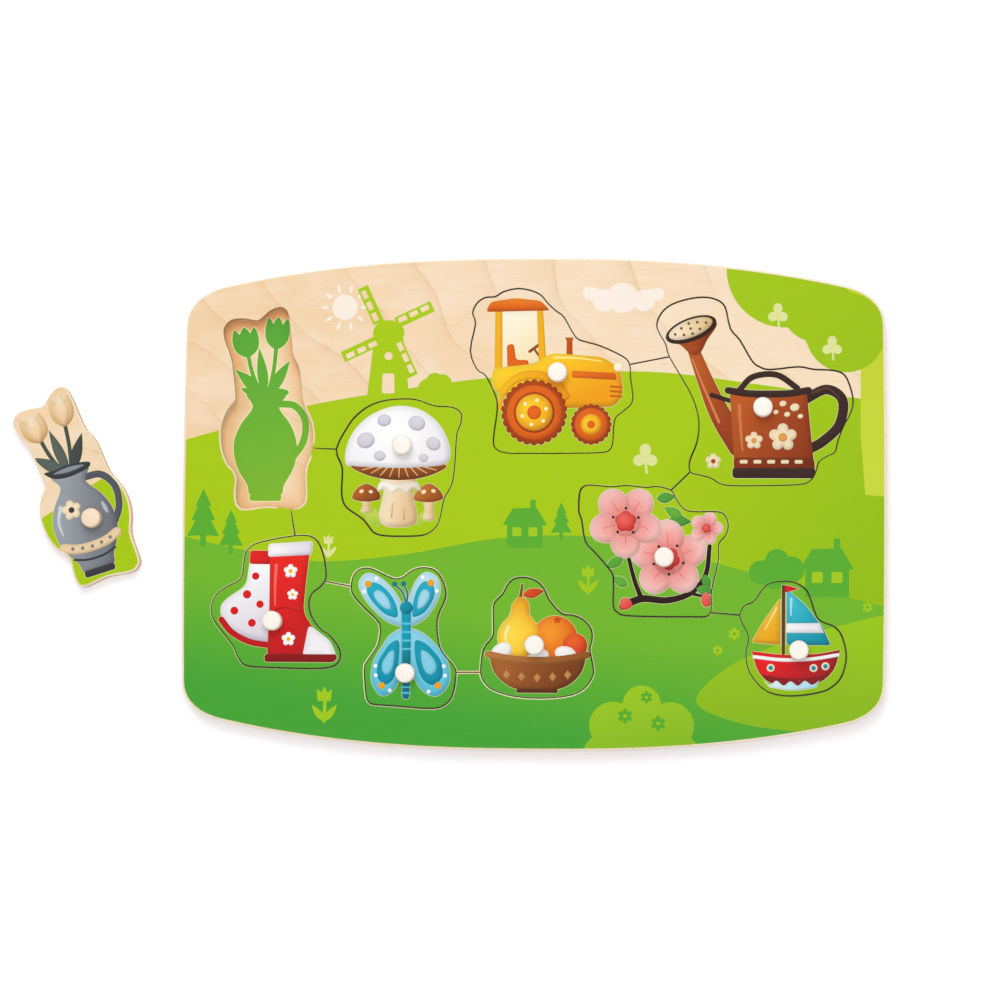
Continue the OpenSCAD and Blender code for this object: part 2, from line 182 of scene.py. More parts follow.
def printedPlywood(name, spec):
    material, add = newMaterial(name)
    place = add("ShaderNodeAttribute", attribute_name="sheetPlace").outputs["Vector"]
    ink = add("ShaderNodeAttribute", attribute_name="ink").outputs
    inSheet = add("ShaderNodeVectorMath", {0: place, "Scale": 1 / mm}, operation="SCALE")
    inLog = add("ShaderNodeVectorMath", {0: inSheet, 1: spec["shift"]}, operation="ADD")
    spot = add("ShaderNodeSeparateXYZ", {0: inLog}).outputs

    # growth lines: slanted and swaying, each darkest at one side and fading out on the other
    slant = add("ShaderNodeVectorMath", {0: inLog, 1: spec["growthWay"]}, operation="DOT_PRODUCT")
    bend = add("ShaderNodeMath", {0: spot["Y"], 1: math.tau / spec["swaySpace"]}, operation="MULTIPLY")
    bend = add("ShaderNodeMath", {0: bend}, operation="SINE")
    swept = add("ShaderNodeMath", {0: bend, 1: spec["sway"], 2: slant}, operation="MULTIPLY_ADD")
    drift = add("ShaderNodeTexNoise", {"Vector": inLog, "Scale": spec["driftScale"], "Detail": 1.0})
    swept = add("ShaderNodeMath", {0: drift, 1: spec["drift"], 2: swept}, operation="MULTIPLY_ADD")
    waver = add("ShaderNodeTexNoise", {"Vector": inLog, "Scale": spec["waverScale"], "Detail": 2.0})
    swept = add("ShaderNodeMath", {0: waver, 1: spec["waver"], 2: swept}, operation="MULTIPLY_ADD")
    turn = add("ShaderNodeMath", {0: swept, 1: spec["growthSpace"]}, operation="DIVIDE")
    turn = add("ShaderNodeMath", {0: turn}, operation="FRACT")
    line = add("ShaderNodeValToRGB", {"Fac": turn})
    for end in line.color_ramp.elements:
        end.color = (0, 0, 0, 1)
    for reach, level in spec["lineLevels"]:
        line.color_ramp.elements.new(reach).color = (level, level, level, 1)
    strength = add("ShaderNodeTexNoise", {"Vector": inLog, "Scale": 0.03, "Detail": 2.0})
    strength = add("ShaderNodeMapRange",
                   {"Value": strength, "From Min": 0.35, "From Max": 0.65, "To Min": spec["lineShares"][0],
                    "To Max": spec["lineShares"][1]})
    lineShare = add("ShaderNodeMath", {0: line, 1: strength}, operation="MULTIPLY")

    # broad warm and pale patches, fine level fibres and short flecks
    patch = add("ShaderNodeTexNoise", {"Vector": inLog, "Scale": 0.014, "Detail": 1.0})
    patch = add("ShaderNodeMath", {0: patch, 1: 250.0, 2: spot["X"]}, operation="MULTIPLY_ADD")
    patchShare = add("ShaderNodeMapRange",
                     {"Value": patch, "From Min": -10.0, "From Max": 210.0, "To Min": spec["patchShares"][0],
                      "To Max": spec["patchShares"][1]})
    clouded = add("ShaderNodeMapping", {"Vector": inLog, "Scale": (0.035, 0.07, 0.05)})
    clouded = add("ShaderNodeTexNoise", {"Vector": clouded, "Scale": 1.0, "Detail": 3.0, "Distortion": 0.6})
    figureShare = add("ShaderNodeMapRange", {"Value": clouded, "From Min": 0.42, "From Max": 0.62,
                                             "To Min": 0.0, "To Max": spec["figureShare"]})
    streaks = add("ShaderNodeMapping", {"Vector": inLog, "Scale": (0.05, 0.5 / spec["fibreWidth"], 0.4)})
    fibre = add("ShaderNodeTexNoise", {"Vector": streaks, "Scale": 1.0, "Detail": 4.0, "Roughness": 0.65})
    fibreShare = add("ShaderNodeMapRange", {"Value": fibre, "From Min": 0.42, "From Max": 0.8,
                                            "To Min": 0.0, "To Max": spec["fibreShare"]})
    flat = (0.45 / spec["fleckSpace"], 1.6 / spec["fleckSpace"], 0.2)
    cells = add("ShaderNodeMapping", {"Vector": inLog, "Scale": flat})
    flecks = add("ShaderNodeTexVoronoi", {"Vector": cells, "Scale": 1.0})
    chosen = add("ShaderNodeSeparateColor", {"Color": flecks.outputs["Color"]})
    chosen = add("ShaderNodeMath", {0: chosen, 1: spec["flecked"]}, operation="GREATER_THAN")
    fleckShare = add("ShaderNodeMapRange", {"Value": flecks, "From Min": 0.08, "From Max": 0.15,
                                            "To Min": spec["fleckShare"], "To Max": 0.0})
    fleckShare = add("ShaderNodeMath", {0: fleckShare, 1: chosen}, operation="MULTIPLY")
    normal = add("ShaderNodeNewGeometry").outputs["Normal"]
    upward = add("ShaderNodeSeparateXYZ", {"Vector": normal}).outputs["Z"]
    upward = add("ShaderNodeMath", {0: upward}, operation="ABSOLUTE")
    sandedShare = add("ShaderNodeMapRange", {"Value": upward, "From Min": 0.88, "From Max": 0.99,
                                             "To Min": 1.0, "To Max": 0.0})
    face = colour(spec["wood"])
    for share, shade in ((patchShare, "woodWarm"), (figureShare, "figure"), (lineShare, "growthLine"),
                         (fibreShare, "fibre"), (fleckShare, "fleck"), (sandedShare, "sanded")):
        face = add("ShaderNodeMix", {0: share, 6: face, 7: colour(spec[shade])}, data_type="RGBA")
    cover = add("ShaderNodeMapRange", {"Value": fibre, "From Min": 0.45, "From Max": 0.85,
                                       "To Min": 1.0, "To Max": spec["wornInk"]})
    dotted = add("ShaderNodeMapping", {"Vector": inLog, "Scale": (0.22, 0.22, 0.05)})
    dotted = add("ShaderNodeTexVoronoi", {"Vector": dotted, "Scale": 1.0})
    pinhole = add("ShaderNodeMapRange", {"Value": dotted, "From Min": 0.03, "From Max": 0.06,
                                         "To Min": spec["pinhole"], "To Max": 1.0})
    cover = add("ShaderNodeMath", {0: cover, 1: pinhole}, operation="MULTIPLY")
    cover = add("ShaderNodeMath", {0: cover, 1: ink["Alpha"]}, operation="MULTIPLY")
    face = add("ShaderNodeMix", {0: cover, 6: face, 7: ink["Color"]}, data_type="RGBA")

    # sawn edges: plies by their height in the sheet, parted by thin lines of glue
    height = add("ShaderNodeSeparateXYZ", {"Vector": inSheet}).outputs["Z"]
    plies = add("ShaderNodeMath", {0: height, 1: spec["ply"]}, operation="DIVIDE")
    odd = add("ShaderNodeMath", {0: plies, 1: 2.0}, operation="MODULO")
    odd = add("ShaderNodeMath", {0: odd, 1: 1.0}, operation="GREATER_THAN")
    nearGlue = add("ShaderNodeMath", {0: plies, 1: 0.5}, operation="PINGPONG")
    nearGlue = add("ShaderNodeMath", {0: nearGlue, 1: spec["glueLine"]}, operation="LESS_THAN")
    standing = add("ShaderNodeMapping", {"Vector": inSheet, "Scale": (2.2, 2.2, 0.35)})
    sawMarks = add("ShaderNodeTexNoise", {"Vector": standing, "Scale": 1.0, "Detail": 3.0, "Roughness": 0.6})
    marked = add("ShaderNodeMapRange", {"Value": sawMarks, "From Min": 0.45, "From Max": 0.8,
                                        "To Min": 0.0, "To Max": spec["markShare"]})
    edge = colour(spec["along"])
    for share, shade in ((odd, "across"), (nearGlue, "glue"), (marked, "across")):
        edge = add("ShaderNodeMix", {0: share, 6: edge, 7: colour(spec[shade])}, data_type="RGBA")
    isEdge = add("ShaderNodeMapRange", {"Value": upward, "From Min": 0.3, "From Max": 0.45,
                                        "To Min": 1.0, "To Max": 0.0})
    isBare = add("ShaderNodeMath", {0: 1.0, 1: ink["Alpha"]}, operation="SUBTRACT")
    edgeShare = add("ShaderNodeMath", {0: isEdge, 1: isBare}, operation="MULTIPLY")
    shown = add("ShaderNodeMix", {0: edgeShare, 6: face, 7: edge}, data_type="RGBA")

    # lacquer: smoother over ink than over wood, rough where sawn, with a fine unevenness
    mottle = add("ShaderNodeTexNoise", {"Vector": inSheet, "Scale": 0.6, "Detail": 2.0})
    sheen = add("ShaderNodeMapRange", {"Value": isBare, "To Min": spec["lacquer"] - spec["uneven"] / 2,
                                       "To Max": spec["bare"] - spec["uneven"] / 2})
    sheen = add("ShaderNodeMath", {0: mottle, 1: spec["uneven"], 2: sheen}, operation="MULTIPLY_ADD")
    rough = add("ShaderNodeMath", {0: isEdge, 1: spec["sawn"]}, operation="MULTIPLY")
    sheen = add("ShaderNodeMath", {0: sheen, 1: rough}, operation="MAXIMUM")
    depth = add("ShaderNodeMapRange", {"Value": isBare, "To Min": 0.15, "To Max": 0.5})
    relief = add("ShaderNodeMath", {0: fibre, 1: depth}, operation="MULTIPLY")
    relief = add("ShaderNodeMath", {0: mottle, 1: 0.25, 2: relief}, operation="MULTIPLY_ADD")
    marks = add("ShaderNodeMath", {0: sawMarks, 1: isEdge}, operation="MULTIPLY")
    relief = add("ShaderNodeMath", {0: marks, 1: 1.6, 2: relief}, operation="MULTIPLY_ADD")
    bump = add("ShaderNodeBump",
               {"Height": relief, "Strength": spec["bump"], "Distance": spec["bumpDepth"] * mm})
    shader = add("ShaderNodeBsdfPrincipled", {
        "Base Color": shown, "Roughness": sheen, "Normal": bump, "Specular IOR Level": spec["shine"]})
    add("ShaderNodeOutputMaterial", {"Surface": shader})
    return material


# Flat shapes, in mm


def signedArea(points):
    x, y = np.array(points, float).T
    return 0.5 * float(np.sum(x * np.roll(y, -1) - y * np.roll(x, -1)))


def between(a, b, c, d, steps=6):    # the spline from each b to its c, as a run of points
    rows = [0.5 * (2 * b + (c - a) * t + (2 * a - 5 * b + 4 * c - d) * t ** 2
                   + (3 * (b - c) + d - a) * t ** 3) for t in np.arange(steps) / steps]
    return np.stack(rows, 1).reshape(-1, 2)


def smooth(points):              # a closed curve through the points
    p = np.array(points, float)
    return between(np.roll(p, 1, 0), p, np.roll(p, -1, 0), np.roll(p, -2, 0))


def curve(points):               # an open one
    p = np.array(points, float)
    ends = np.vstack([2 * p[0] - p[1], p, 2 * p[-1] - p[-2]])
    return np.vstack([between(ends[:-3], ends[1:-2], ends[2:-1], ends[3:]), p[-1:]])


def turnedBy(points, turn):      # in degrees
    c, s = math.cos(math.radians(turn)), math.sin(math.radians(turn))
    return np.array(points, float) @ np.array([[c, s], [-s, c]])


def oval(x, y, rx, ry=None, turn=0, count=36):
    angle = np.arange(count) * math.tau / count
    return turnedBy(np.stack([rx * np.cos(angle), (ry or rx) * np.sin(angle)], 1), turn) + (x, y)


def corners(points, rounding=0.0, steps=4):   # a straight-sided shape, its corners eased
    p = np.array(points, float)
    if not rounding:
        return p
    rows = []
    for before, here, after in zip(np.roll(p, 1, 0), p, np.roll(p, -1, 0)):
        ways = [(before - here), (after - here)]
        sizes = [np.linalg.norm(w) for w in ways]
        ease = min(rounding, 0.48 * min(sizes))
        start, end = (here + w / s * ease for w, s in zip(ways, sizes))
        for t in np.linspace(0, 1, steps + 1):
            rows.append((1 - t) ** 2 * start + 2 * t * (1 - t) * here + t ** 2 * end)
    return np.array(rows)


def strip(points, width, endWidth=None):   # a band of ink along an open curve
    rows = curve(points)
    along = np.gradient(rows, axis=0)
    along /= np.linalg.norm(along, axis=1)[:, None]
    aside = np.stack([-along[:, 1], along[:, 0]], 1)
    half = np.linspace(width, width if endWidth is None else endWidth, len(rows))[:, None] / 2
    cap = [math.radians(a) for a in range(-60, 61, 30)]
    head = [rows[-1] + half[-1] * (math.cos(a) * along[-1] + math.sin(a) * aside[-1]) for a in cap]
    tail = [rows[0] - half[0] * (math.cos(a) * along[0] + math.sin(a) * aside[0]) for a in cap]
    return np.vstack([rows - half * aside, head, (rows + half * aside)[::-1], tail])


def petals(x, y, radius, count, depth=0.22, turn=90, steps=72):   # a flower in one outline
    angle = np.arange(steps) * math.tau / steps
    reach = radius * (1 - depth + depth * np.abs(np.cos(count / 2 * angle)) ** 0.7)
    angle = angle + math.radians(turn)
    return np.stack([x + reach * np.cos(angle), y + reach * np.sin(angle)], 1)


def leaf(x, y, length, width, turn):
    t = np.linspace(0, 1, 9)
    side = width / 2 * np.sin(math.pi * t ** 0.8)
    p = np.vstack([np.stack([t * length, side], 1), np.stack([t * length, -side], 1)[-2:0:-1]])
    return turnedBy(p, turn) + (x, y)


def grown(points, distance):     # moved outward all round
    p = np.array(points, float)
    if signedArea(p) < 0:
        p = p[::-1]
    along = np.roll(p, -1, 0) - np.roll(p, 1, 0)
    along /= np.maximum(np.linalg.norm(along, axis=1), 1e-9)[:, None]
    return p + np.stack([along[:, 1], -along[:, 0]], 1) * distance


# Inks: a hex colour, a fade along a line or a glow round a point, with how much they cover


def fade(first, last, start, end, cover=1.0):
    return {"first": first, "last": last, "start": start, "end": end, "cover": cover}


def glow(first, last, middle, radius, cover=1.0):
    return {"first": first, "last": last, "start": middle, "radius": radius, "cover": cover}


def thin(code, cover):
    return {"first": code, "last": code, "start": (0, 0), "radius": 1, "cover": cover}


def pooled(ink, outline, reach):   # strongest along an outline, gone within its reach
    return dict(ink, pool=outline, reach=reach)


relief = {                       # the soft shading round the printed figures
    "width": 2.6,                # mm
    "least": 0.4,                # mm, narrower shapes stay flat
    "shade": 0.2,
    "shine": 0.05,
    "away": (0.6, -0.8),         # the side that lies in shade
}


def softWidth(points):           # how far in the shading reaches, less in narrow shapes
    length = np.linalg.norm(np.roll(points, -1, 0) - points, axis=1).sum()
    return min(relief["width"], 0.8 * abs(signedArea(points)) / length)


def nearestOn(points, lines):    # for each point: how far off, on which line, which segment, how far along it
    rows, each = [], np.arange(len(points))
    for line in lines:
        way = np.roll(line, -1, 0) - line
        rel = points[:, None] - line[None]
        t = np.clip((rel * way).sum(2) / np.maximum((way ** 2).sum(1), 1e-12), 0, 1)
        gap = np.linalg.norm(rel - t[..., None] * way, axis=2)
        k = gap.argmin(1)
        rows.append((gap[each, k], k, t[each, k]))
    number = np.argmin([row[0] for row in rows], axis=0)
    gap, k, t = (np.choose(number, [row[i] for row in rows]) for i in range(3))
    return gap, number, k, t


def inkAt(ink, points):          # linear colour and cover at points, one row each
    if ink is None:
        return np.zeros((len(points), 4))
    if isinstance(ink, str):
        ink = thin(ink, 1.0)
    start = np.array(ink["start"], float)
    if "radius" in ink:
        t = np.clip(np.linalg.norm(points - start, axis=1) / ink["radius"], 0, 1) ** 1.5
    else:
        way = np.array(ink["end"], float) - start
        t = np.clip((points - start) @ way / (way @ way), 0, 1)
    first, last = fromHex(ink["first"]), fromHex(ink["last"])
    mixed = first + (last - first) * t[:, None]
    if "outline" in ink:
        outline = ink["outline"]
        gap, _, k, _ = nearestOn(points, [outline])
        along = np.roll(outline, -1, 0) - outline
        facing = (along[:, ::-1] * (1, -1) / np.linalg.norm(along, axis=1)[:, None] @ relief["away"])[k]
        near = 1 - np.clip(gap / softWidth(outline), 0, 1)
        mixed = mixed * (1 - relief["shade"] * near * (0.35 + 0.65 * np.maximum(facing, 0)))[:, None]
        mixed = mixed + (1 - mixed) * (relief["shine"] * near * np.maximum(-facing, 0))[:, None]
    cover = np.full(len(points), ink["cover"])
    if "pool" in ink:
        cover = cover * (1 - np.clip(nearestOn(points, [ink["pool"]])[0] / ink["reach"], 0, 1)) ** 1.3
    return np.hstack([toLinear(mixed), cover[:, None]])


# Sheets: a flat sheet whose face is cut along every edge of its print


def cadLines(node):              # the lines round a CAD sheet at its underside, wood on their left, in mm
    bm = bmesh.new()
    bm.from_mesh(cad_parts[node].data)
    bmesh.ops.remove_doubles(bm, verts=bm.verts, dist=2e-6)
    low = min(v.co.z for v in bm.verts)
    flat = {f for f in bm.faces if all(abs(v.co.z - low) < 1e-5 for v in f.verts)}
    follow = {}
    for face in flat:
        for loop in face.loops:
            if sum(f in flat for f in loop.edge.link_faces) == 1:
                follow[loop.link_loop_next.vert] = loop.vert
    lines = []
    while follow:
        first, here = follow.popitem()
        line = [first.co.xy / mm]
        while here is not first:
            line.append(here.co.xy / mm)
            here = follow.pop(here)
        lines.append(np.array(line))
    bm.free()
    return sorted(lines, key=lambda line: -abs(signedArea(line)))


def intoWood(line, rims):        # each point of a line moved left by its own distance
    after = np.roll(line, -1, 0) - line
    after /= np.linalg.norm(after, axis=1)[:, None]
    before = np.roll(after, 1, 0)
    left = np.stack([-(after + before)[:, 1], (after + before)[:, 0]], 1)
    left /= np.linalg.norm(left, axis=1)[:, None]
    lean = np.maximum(left[:, 0] * -after[:, 1] + left[:, 1] * after[:, 0], 0.7)
    return line + left * (rims / lean)[:, None]


sheetMesh = {
    "rimSteps": 4,               # steps of the upper edge's rounding
    "inkedRim": 0.45,            # mm, narrower rims are printed over
    "footRim": 0.3,              # mm, bevel of the lower edge
    "poolShares": (0.15, 0.35, 0.6, 1),   # of a pool's reach, where points carry its fading
    "deepest": (0.4, 0.4, 1.0, 1.0),      # how far down a wall its faces' corners count
}


def layFace(edges, prints, gridStep):   # the top, cut along every edge of its print
    low, high = edges[0].min(0) - 1, edges[0].max(0) + 1
    inks, outlines = [], []
    for ink, points in prints:
        points = np.array(points, float)
        if (points.max(0) > low).all() and (points.min(0) < high).all():
            inks.append(ink)
            outlines.append(points)
    verts, faces = [], []
    for outline in edges + outlines:
        if signedArea(outline) < 0:
            outline = outline[::-1]
        faces.append(list(range(len(verts), len(verts) + len(outline))))
        verts += [Vector(p) for p in outline]
    softInks = [ink for ink in inks if isinstance(ink, dict)]
    insets = [(ink["outline"], softWidth(ink["outline"])) for ink in softInks if "outline" in ink]
    insets += [(ink["pool"], ink["reach"] * share)
               for ink in softInks if "pool" in ink for share in sheetMesh["poolShares"]]
    for outline, inset in insets:    # points along the inner side of each soft edge, to carry its shading
        verts += [Vector(p) for p in grown(outline, -inset) if (p > low).all() and (p < high).all()]
    xs = np.arange(low[0] + gridStep * 0.37, high[0], gridStep)
    ys = np.arange(low[1] + gridStep * 0.41, high[1], gridStep)
    verts += [Vector((x + gridStep * 0.25 * (k % 2), y)) for k, y in enumerate(ys) for x in xs]
    flat, _, tris, _, _, sources = delaunay_2d_cdt(verts, [], faces, 1, 1e-4, True)
    holes = set(range(1, len(edges)))
    keep = [(tri, src) for tri, src in zip(tris, sources) if 0 in src and not holes & set(src)]
    used = sorted({v for tri, _ in keep for v in tri})
    index = {v: i for i, v in enumerate(used)}
    face = np.array([flat[v] for v in used], float)
    topTris = np.array([[index[v] for v in tri] for tri, _ in keep])
    shown = [max((s - len(edges) for s in src if s >= len(edges)), default=None) for _, src in keep]
    return face, topTris, shown, inks


def roundsOf(tris, shown):       # the closed runs along their edge, and the ink beside each step
    beside = {(a, b): number for tri, number in zip(tris.tolist(), shown)
              for a, b in zip(tri, tri[1:] + tri[:1])}
    follow = {a: b for a, b in beside if (b, a) not in beside}
    rounds = []
    while follow:
        first, here = follow.popitem()
        run = [first]
        while here != first:
            run.append(here)
            here = follow.pop(here)
        rounds.append(run)
    return rounds, beside


def closeUnder(walls):           # the underside's triangles, between the lowest rings of the walls
    verts, loops, where = [], [], []
    for inward, ring in walls:
        along = list(range(len(verts), len(verts) + len(ring)))
        loops.append(along if signedArea(inward) > 0 else along[::-1])
        verts += [Vector(p) for p in inward]
        where += ring
    _, _, under, origin, _, sources = delaunay_2d_cdt(verts, [], loops, 1, 1e-7, True)
    outer = max(range(len(walls)), key=lambda k: abs(signedArea(walls[k][0])))
    return [tuple(where[origin[v][0]] for v in reversed(tri))
            for tri, src in zip(under, sources) if src == [outer]]


# lines run at the walls; rimOf gives the bare rim's width and rounding at points of a line; prints are
# (ink, points), and where the rim is narrow they run on over it, with the traces of the saw: black burn
# with painted shade of the open gap, pale chips with a painted glint; the scorch ink gives the walls below
# the wide rims saw scorch together with painted shade; settle moves the finished sheet from its place in the
# print
def makeSheet(name, lines, node, rimOf, prints, gridStep, footRim=sheetMesh["footRim"],
              settle=None, scorchAndShade=None, traceOf=None):
    bottom, top = (corner.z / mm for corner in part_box(node))
    rims, easings = zip(*(rimOf(number, line) for number, line in enumerate(lines)))
    edges = [intoWood(line, rim) for line, rim in zip(lines, rims)]
    face, topTris, shown, inks = layFace(edges, prints, gridStep)
    rounds, beside = roundsOf(topTris, shown)
    rimSteps = sheetMesh["rimSteps"]
    points = [np.hstack([face, np.full((len(face), 1), top)])]
    faces, size = [], len(face)
    walls, ringInk, wallsScorchedAndShaded = [], [], []
    for run in rounds:
        place = face[run]
        _, number, k, t = nearestOn(place, edges)
        wall = np.array([lines[n][i] * (1 - s) + lines[n][(i + 1) % len(lines[n])] * s
                         for n, i, s in zip(number, k, t)])
        rim = np.linalg.norm(wall - place, axis=1)
        ease = np.minimum(rim * 0.97, [easings[n][i] for n, i in zip(number, k)])
        brink = place + (wall - place) * (1 - ease / rim)[:, None]
        levels = [(brink, np.full(len(run), float(top)))]
        for angle in (math.pi / 2 * step / rimSteps for step in range(1, rimSteps + 1)):
            levels.append((brink + (wall - brink) * math.sin(angle), top - ease * (1 - math.cos(angle))))
        foot = np.minimum(rim, footRim)
        levels.append((wall, np.full(len(run), bottom) + foot))
        inward = wall + (place - wall) * (foot / np.maximum(rim, 1e-6))[:, None]
        levels.append((inward, np.full(len(run), float(bottom))))
        rings = [run]
        for xy, z in levels:
            points.append(np.hstack([xy, np.reshape(z, (-1, 1))]))
            rings.append(list(range(size, size + len(run))))
            size += len(run)
        for depth, (upper, lower) in enumerate(zip(rings, rings[1:])):
            for i in range(len(run)):
                j = (i + 1) % len(run)
                narrow = rim[i] < sheetMesh["inkedRim"]
                if depth <= rimSteps and narrow:
                    ringInk.append((len(faces), beside[run[i], run[j]]))
                elif narrow and scorchAndShade:
                    ringInk.append((len(faces), None))
                elif depth > rimSteps // 2 and (number > 0).all():
                    wallsScorchedAndShaded.append(len(faces))
                faces.append((upper[j], upper[i], lower[i], lower[j]))
        walls.append((inward, rings[-1]))

    points = flatPoints = np.vstack(points)
    sheetPlace = (points - (0, 0, bottom)) * mm
    if settle is not None:
        points = points @ np.array(settle.to_3x3()).T + np.array(settle.translation)
    mesh = bpy.data.meshes.new(name)
    mesh.from_pydata((points * mm).tolist(), [], topTris.tolist() + faces + closeUnder(walls))
    mesh.update()
    attribute = mesh.attributes.new("sheetPlace", "FLOAT_VECTOR", "POINT")
    attribute.data.foreach_set("vector", sheetPlace.astype(np.float32).ravel())
    shades = np.zeros((len(mesh.loops), 4), np.float32)

    def ringCorners(which):      # the corners of some of the rings' faces, and the places of those corners
        at = (np.array(which)[:, None] * 4 + np.arange(4)).ravel() + 3 * len(topTris)
        return at, flatPoints[np.array(faces)[which].ravel(), :2]
    order = np.array([-1 if i is None else i for i in shown])
    for number in set(order.tolist()) - {-1}:
        which = np.nonzero(order == number)[0]
        at = (which[:, None] * 3 + np.arange(3)).ravel()
        shades[at] = inkAt(inks[number], face[topTris[which].ravel()])
    for number in {n for _, n in ringInk if n is not None}:
        at, places = ringCorners([q for q, n in ringInk if n == number])
        shades[at] = inkAt(inks[number], places)
    if traceOf and ringInk:      # black: saw burn and painted shade of the open gap; pale: chips and a painted glint
        at, places = ringCorners([q for q, _ in ringInk])
        fours = places.reshape(-1, 4, 2)
        along = fours[:, 0] - fours[:, 1]
        out = np.stack([along[:, 1], -along[:, 0]], 1)
        out = np.repeat(out / np.maximum(np.linalg.norm(out, axis=1), 1e-9)[:, None], 4, axis=0)
        onWall = np.linalg.norm(fours[:, 3] - fours[:, 0], axis=1) < 1e-6
        deep = np.where(onWall[:, None], sheetMesh["deepest"], 0).ravel()
        for trace, share in traceOf(places, out, deep):
            bare = shades[at, 3:] == 0
            mixed = shades[at] * (1 - share) + np.array(colour(trace)) * share
            mixed[:, :3] = np.where(bare, colour(trace)[:3], mixed[:, :3])
            shades[at] = mixed
    # the walls below the wide rims: saw scorch together with painted shade
    if scorchAndShade and wallsScorchedAndShaded:
        at, places = ringCorners(wallsScorchedAndShaded)
        shades[at] = inkAt(scorchAndShade, places)
    inkLayer = mesh.attributes.new("ink", "FLOAT_COLOR", "CORNER")
    inkLayer.data.foreach_set("color", shades.ravel())
    soft = np.zeros(len(mesh.polygons), bool)
    soft[len(topTris):len(topTris) + len(faces)] = True
    mesh.polygons.foreach_set("use_smooth", soft)
    piece = bpy.data.objects.new(name, mesh)
    bpy.context.scene.collection.objects.link(piece)
    print("sheet", name, len(mesh.polygons), "faces", len(rounds), "lines")
    return piece


def hill(points, floor=-120):    # everything under a smooth skyline
    line = curve(points)
    return np.vstack([line, [(line[-1][0], floor), (line[0][0], floor)]])


def shrunk(points, share):       # the same shape, smaller about its middle
    p = np.array(points, float)
    middle = (p.min(0) + p.max(0)) / 2
    return middle + (p - middle) * share


def crown(x, y, puffs):          # a foliage outline of round puffs (angle, reach, size), as one line
    angle = np.arange(120) * math.tau / 120
    ways = np.stack([np.cos(angle), np.sin(angle)], 1)
    reach = np.zeros(len(angle))
    for turn, away, size in puffs:
        middle = away * np.array([math.cos(math.radians(turn)), math.sin(math.radians(turn))])
        along = ways @ middle
        inside = along ** 2 - middle @ middle + size ** 2
        reach = np.maximum(reach, np.where(inside > 0, along + np.sqrt(np.maximum(inside, 0)), 0))
    return ways * reach[:, None] + (x, y)


def scaled(points, x, y, size):  # a shape drawn in shares of its size, put in its place
    return [(x + a * size, y + b * size) for a, b in points]


def around(x, y, reach, count, first=0):   # places on a ring, each with its angle in degrees
    for turn in (first + 360 * k / count for k in range(count)):
        yield x + reach * math.cos(math.radians(turn)), y + reach * math.sin(math.radians(turn)), turn


def ring(*given):                # the same places without the angle
    return [place[:2] for place in around(*given)]


def dots(ink, places, radius=None, count=14):   # places are (x, y), or (x, y, radius)
    return [(ink, oval(x, y, *(own or [radius]), count=count)) for x, y, *own in places]


# Background of the picture, in mm from the middle of the board

skyline = [(-156, 25), (-128, 33), (-95, 42), (-60, 48), (-25, 53), (15, 56), (55, 56), (95, 51), (130, 46),
           (156, 43)]
nearHill = [(-156, -13), (-125, -20), (-92, -25), (-55, -22), (-15, -15), (25, -14), (62, -21), (100, -31),
            (156, -45)]
greens = {
    "field": fade("#AACC08", "#96C20C", (70, 40), (150, -12)),
    "near": fade("#45A735", "#73B92A", (0, -97), (6, -52)),
    "tree": fade("#A3C80C", "#9DC410", (110, 90), (150, 60)),
    "trunk": fade("#C4D42C", "#CCDC40", (140, 80), (140, 0)),
    "shadow": "#5AB02E",
    "bush": fade("#9CCA1C", "#8ABE22", (45, -80), (50, -105)),
    "pond": fade("#9CCA14", "#8ABA1C", (110, -50), (110, -100)),
    "pale": thin("#D9E78C", 0.75),
    "lime": "#A4CC18",
}


def tulip(x, y, size, ink):
    cup = [(-0.17, 0.5), (-0.19, 0.82), (-0.08, 0.7), (0, 0.88), (0.08, 0.7), (0.19, 0.82), (0.17, 0.5)]
    return [
        (ink, strip(scaled([(0, 0), (0.02, 0.55)], x, y, size), 0.09 * size)),
        *[(ink, leaf(x, y, 0.52 * size, 0.17 * size, turn)) for turn in (128, 52)],
        (ink, corners(scaled(cup, x, y, size), 0.05 * size)),
    ]


def windmill(x, y, size, ink):
    tower = [(-0.19, 0), (-0.12, 0.62), (0.12, 0.62), (0.19, 0)]
    door = [(-0.055, 0.1), (-0.05, 0.27), (0.05, 0.27), (0.055, 0.1)]
    hub = (x - 0.01 * size, y + 0.63 * size)
    rows = [(ink, corners(scaled(tower, x, y, size))),
            (ink, oval(x, y + 0.62 * size, 0.135 * size, 0.11 * size))]
    for turn in (25, 115, 205, 295):
        def sail(left, low, right, high):
            return turnedBy([(left, low), (left, high), (right, high), (right, low)], turn) * size + hub
        rows.append((ink, corners(sail(0, -0.012, 0.44, 0.012))))
        rows.append((ink, corners(sail(0.1, 0, 0.44, 0.085))))
        for left in (0.125, 0.23, 0.335):
            rows.append((None, corners(sail(left, 0.025, left + 0.075, 0.068), 0.004 * size)))
    rows.append((ink, oval(*hub, 0.035 * size)))
    rows.append((None, corners(scaled(door, x, y, size), 0.02 * size)))
    rows.append((None, oval(x, y + 0.42 * size, 0.035 * size)))
    return rows


def pine(x, y, size, ink):
    half = [(0.05, 0), (0.05, 0.2), (0.28, 0.18), (0.13, 0.46), (0.21, 0.45), (0.09, 0.71), (0.14, 0.7)]
    shape = [(-a, b) for a, b in half] + [(0, 1)] + half[::-1]
    return [(ink, corners(scaled(shape, x, y, size), 0.03 * size))]


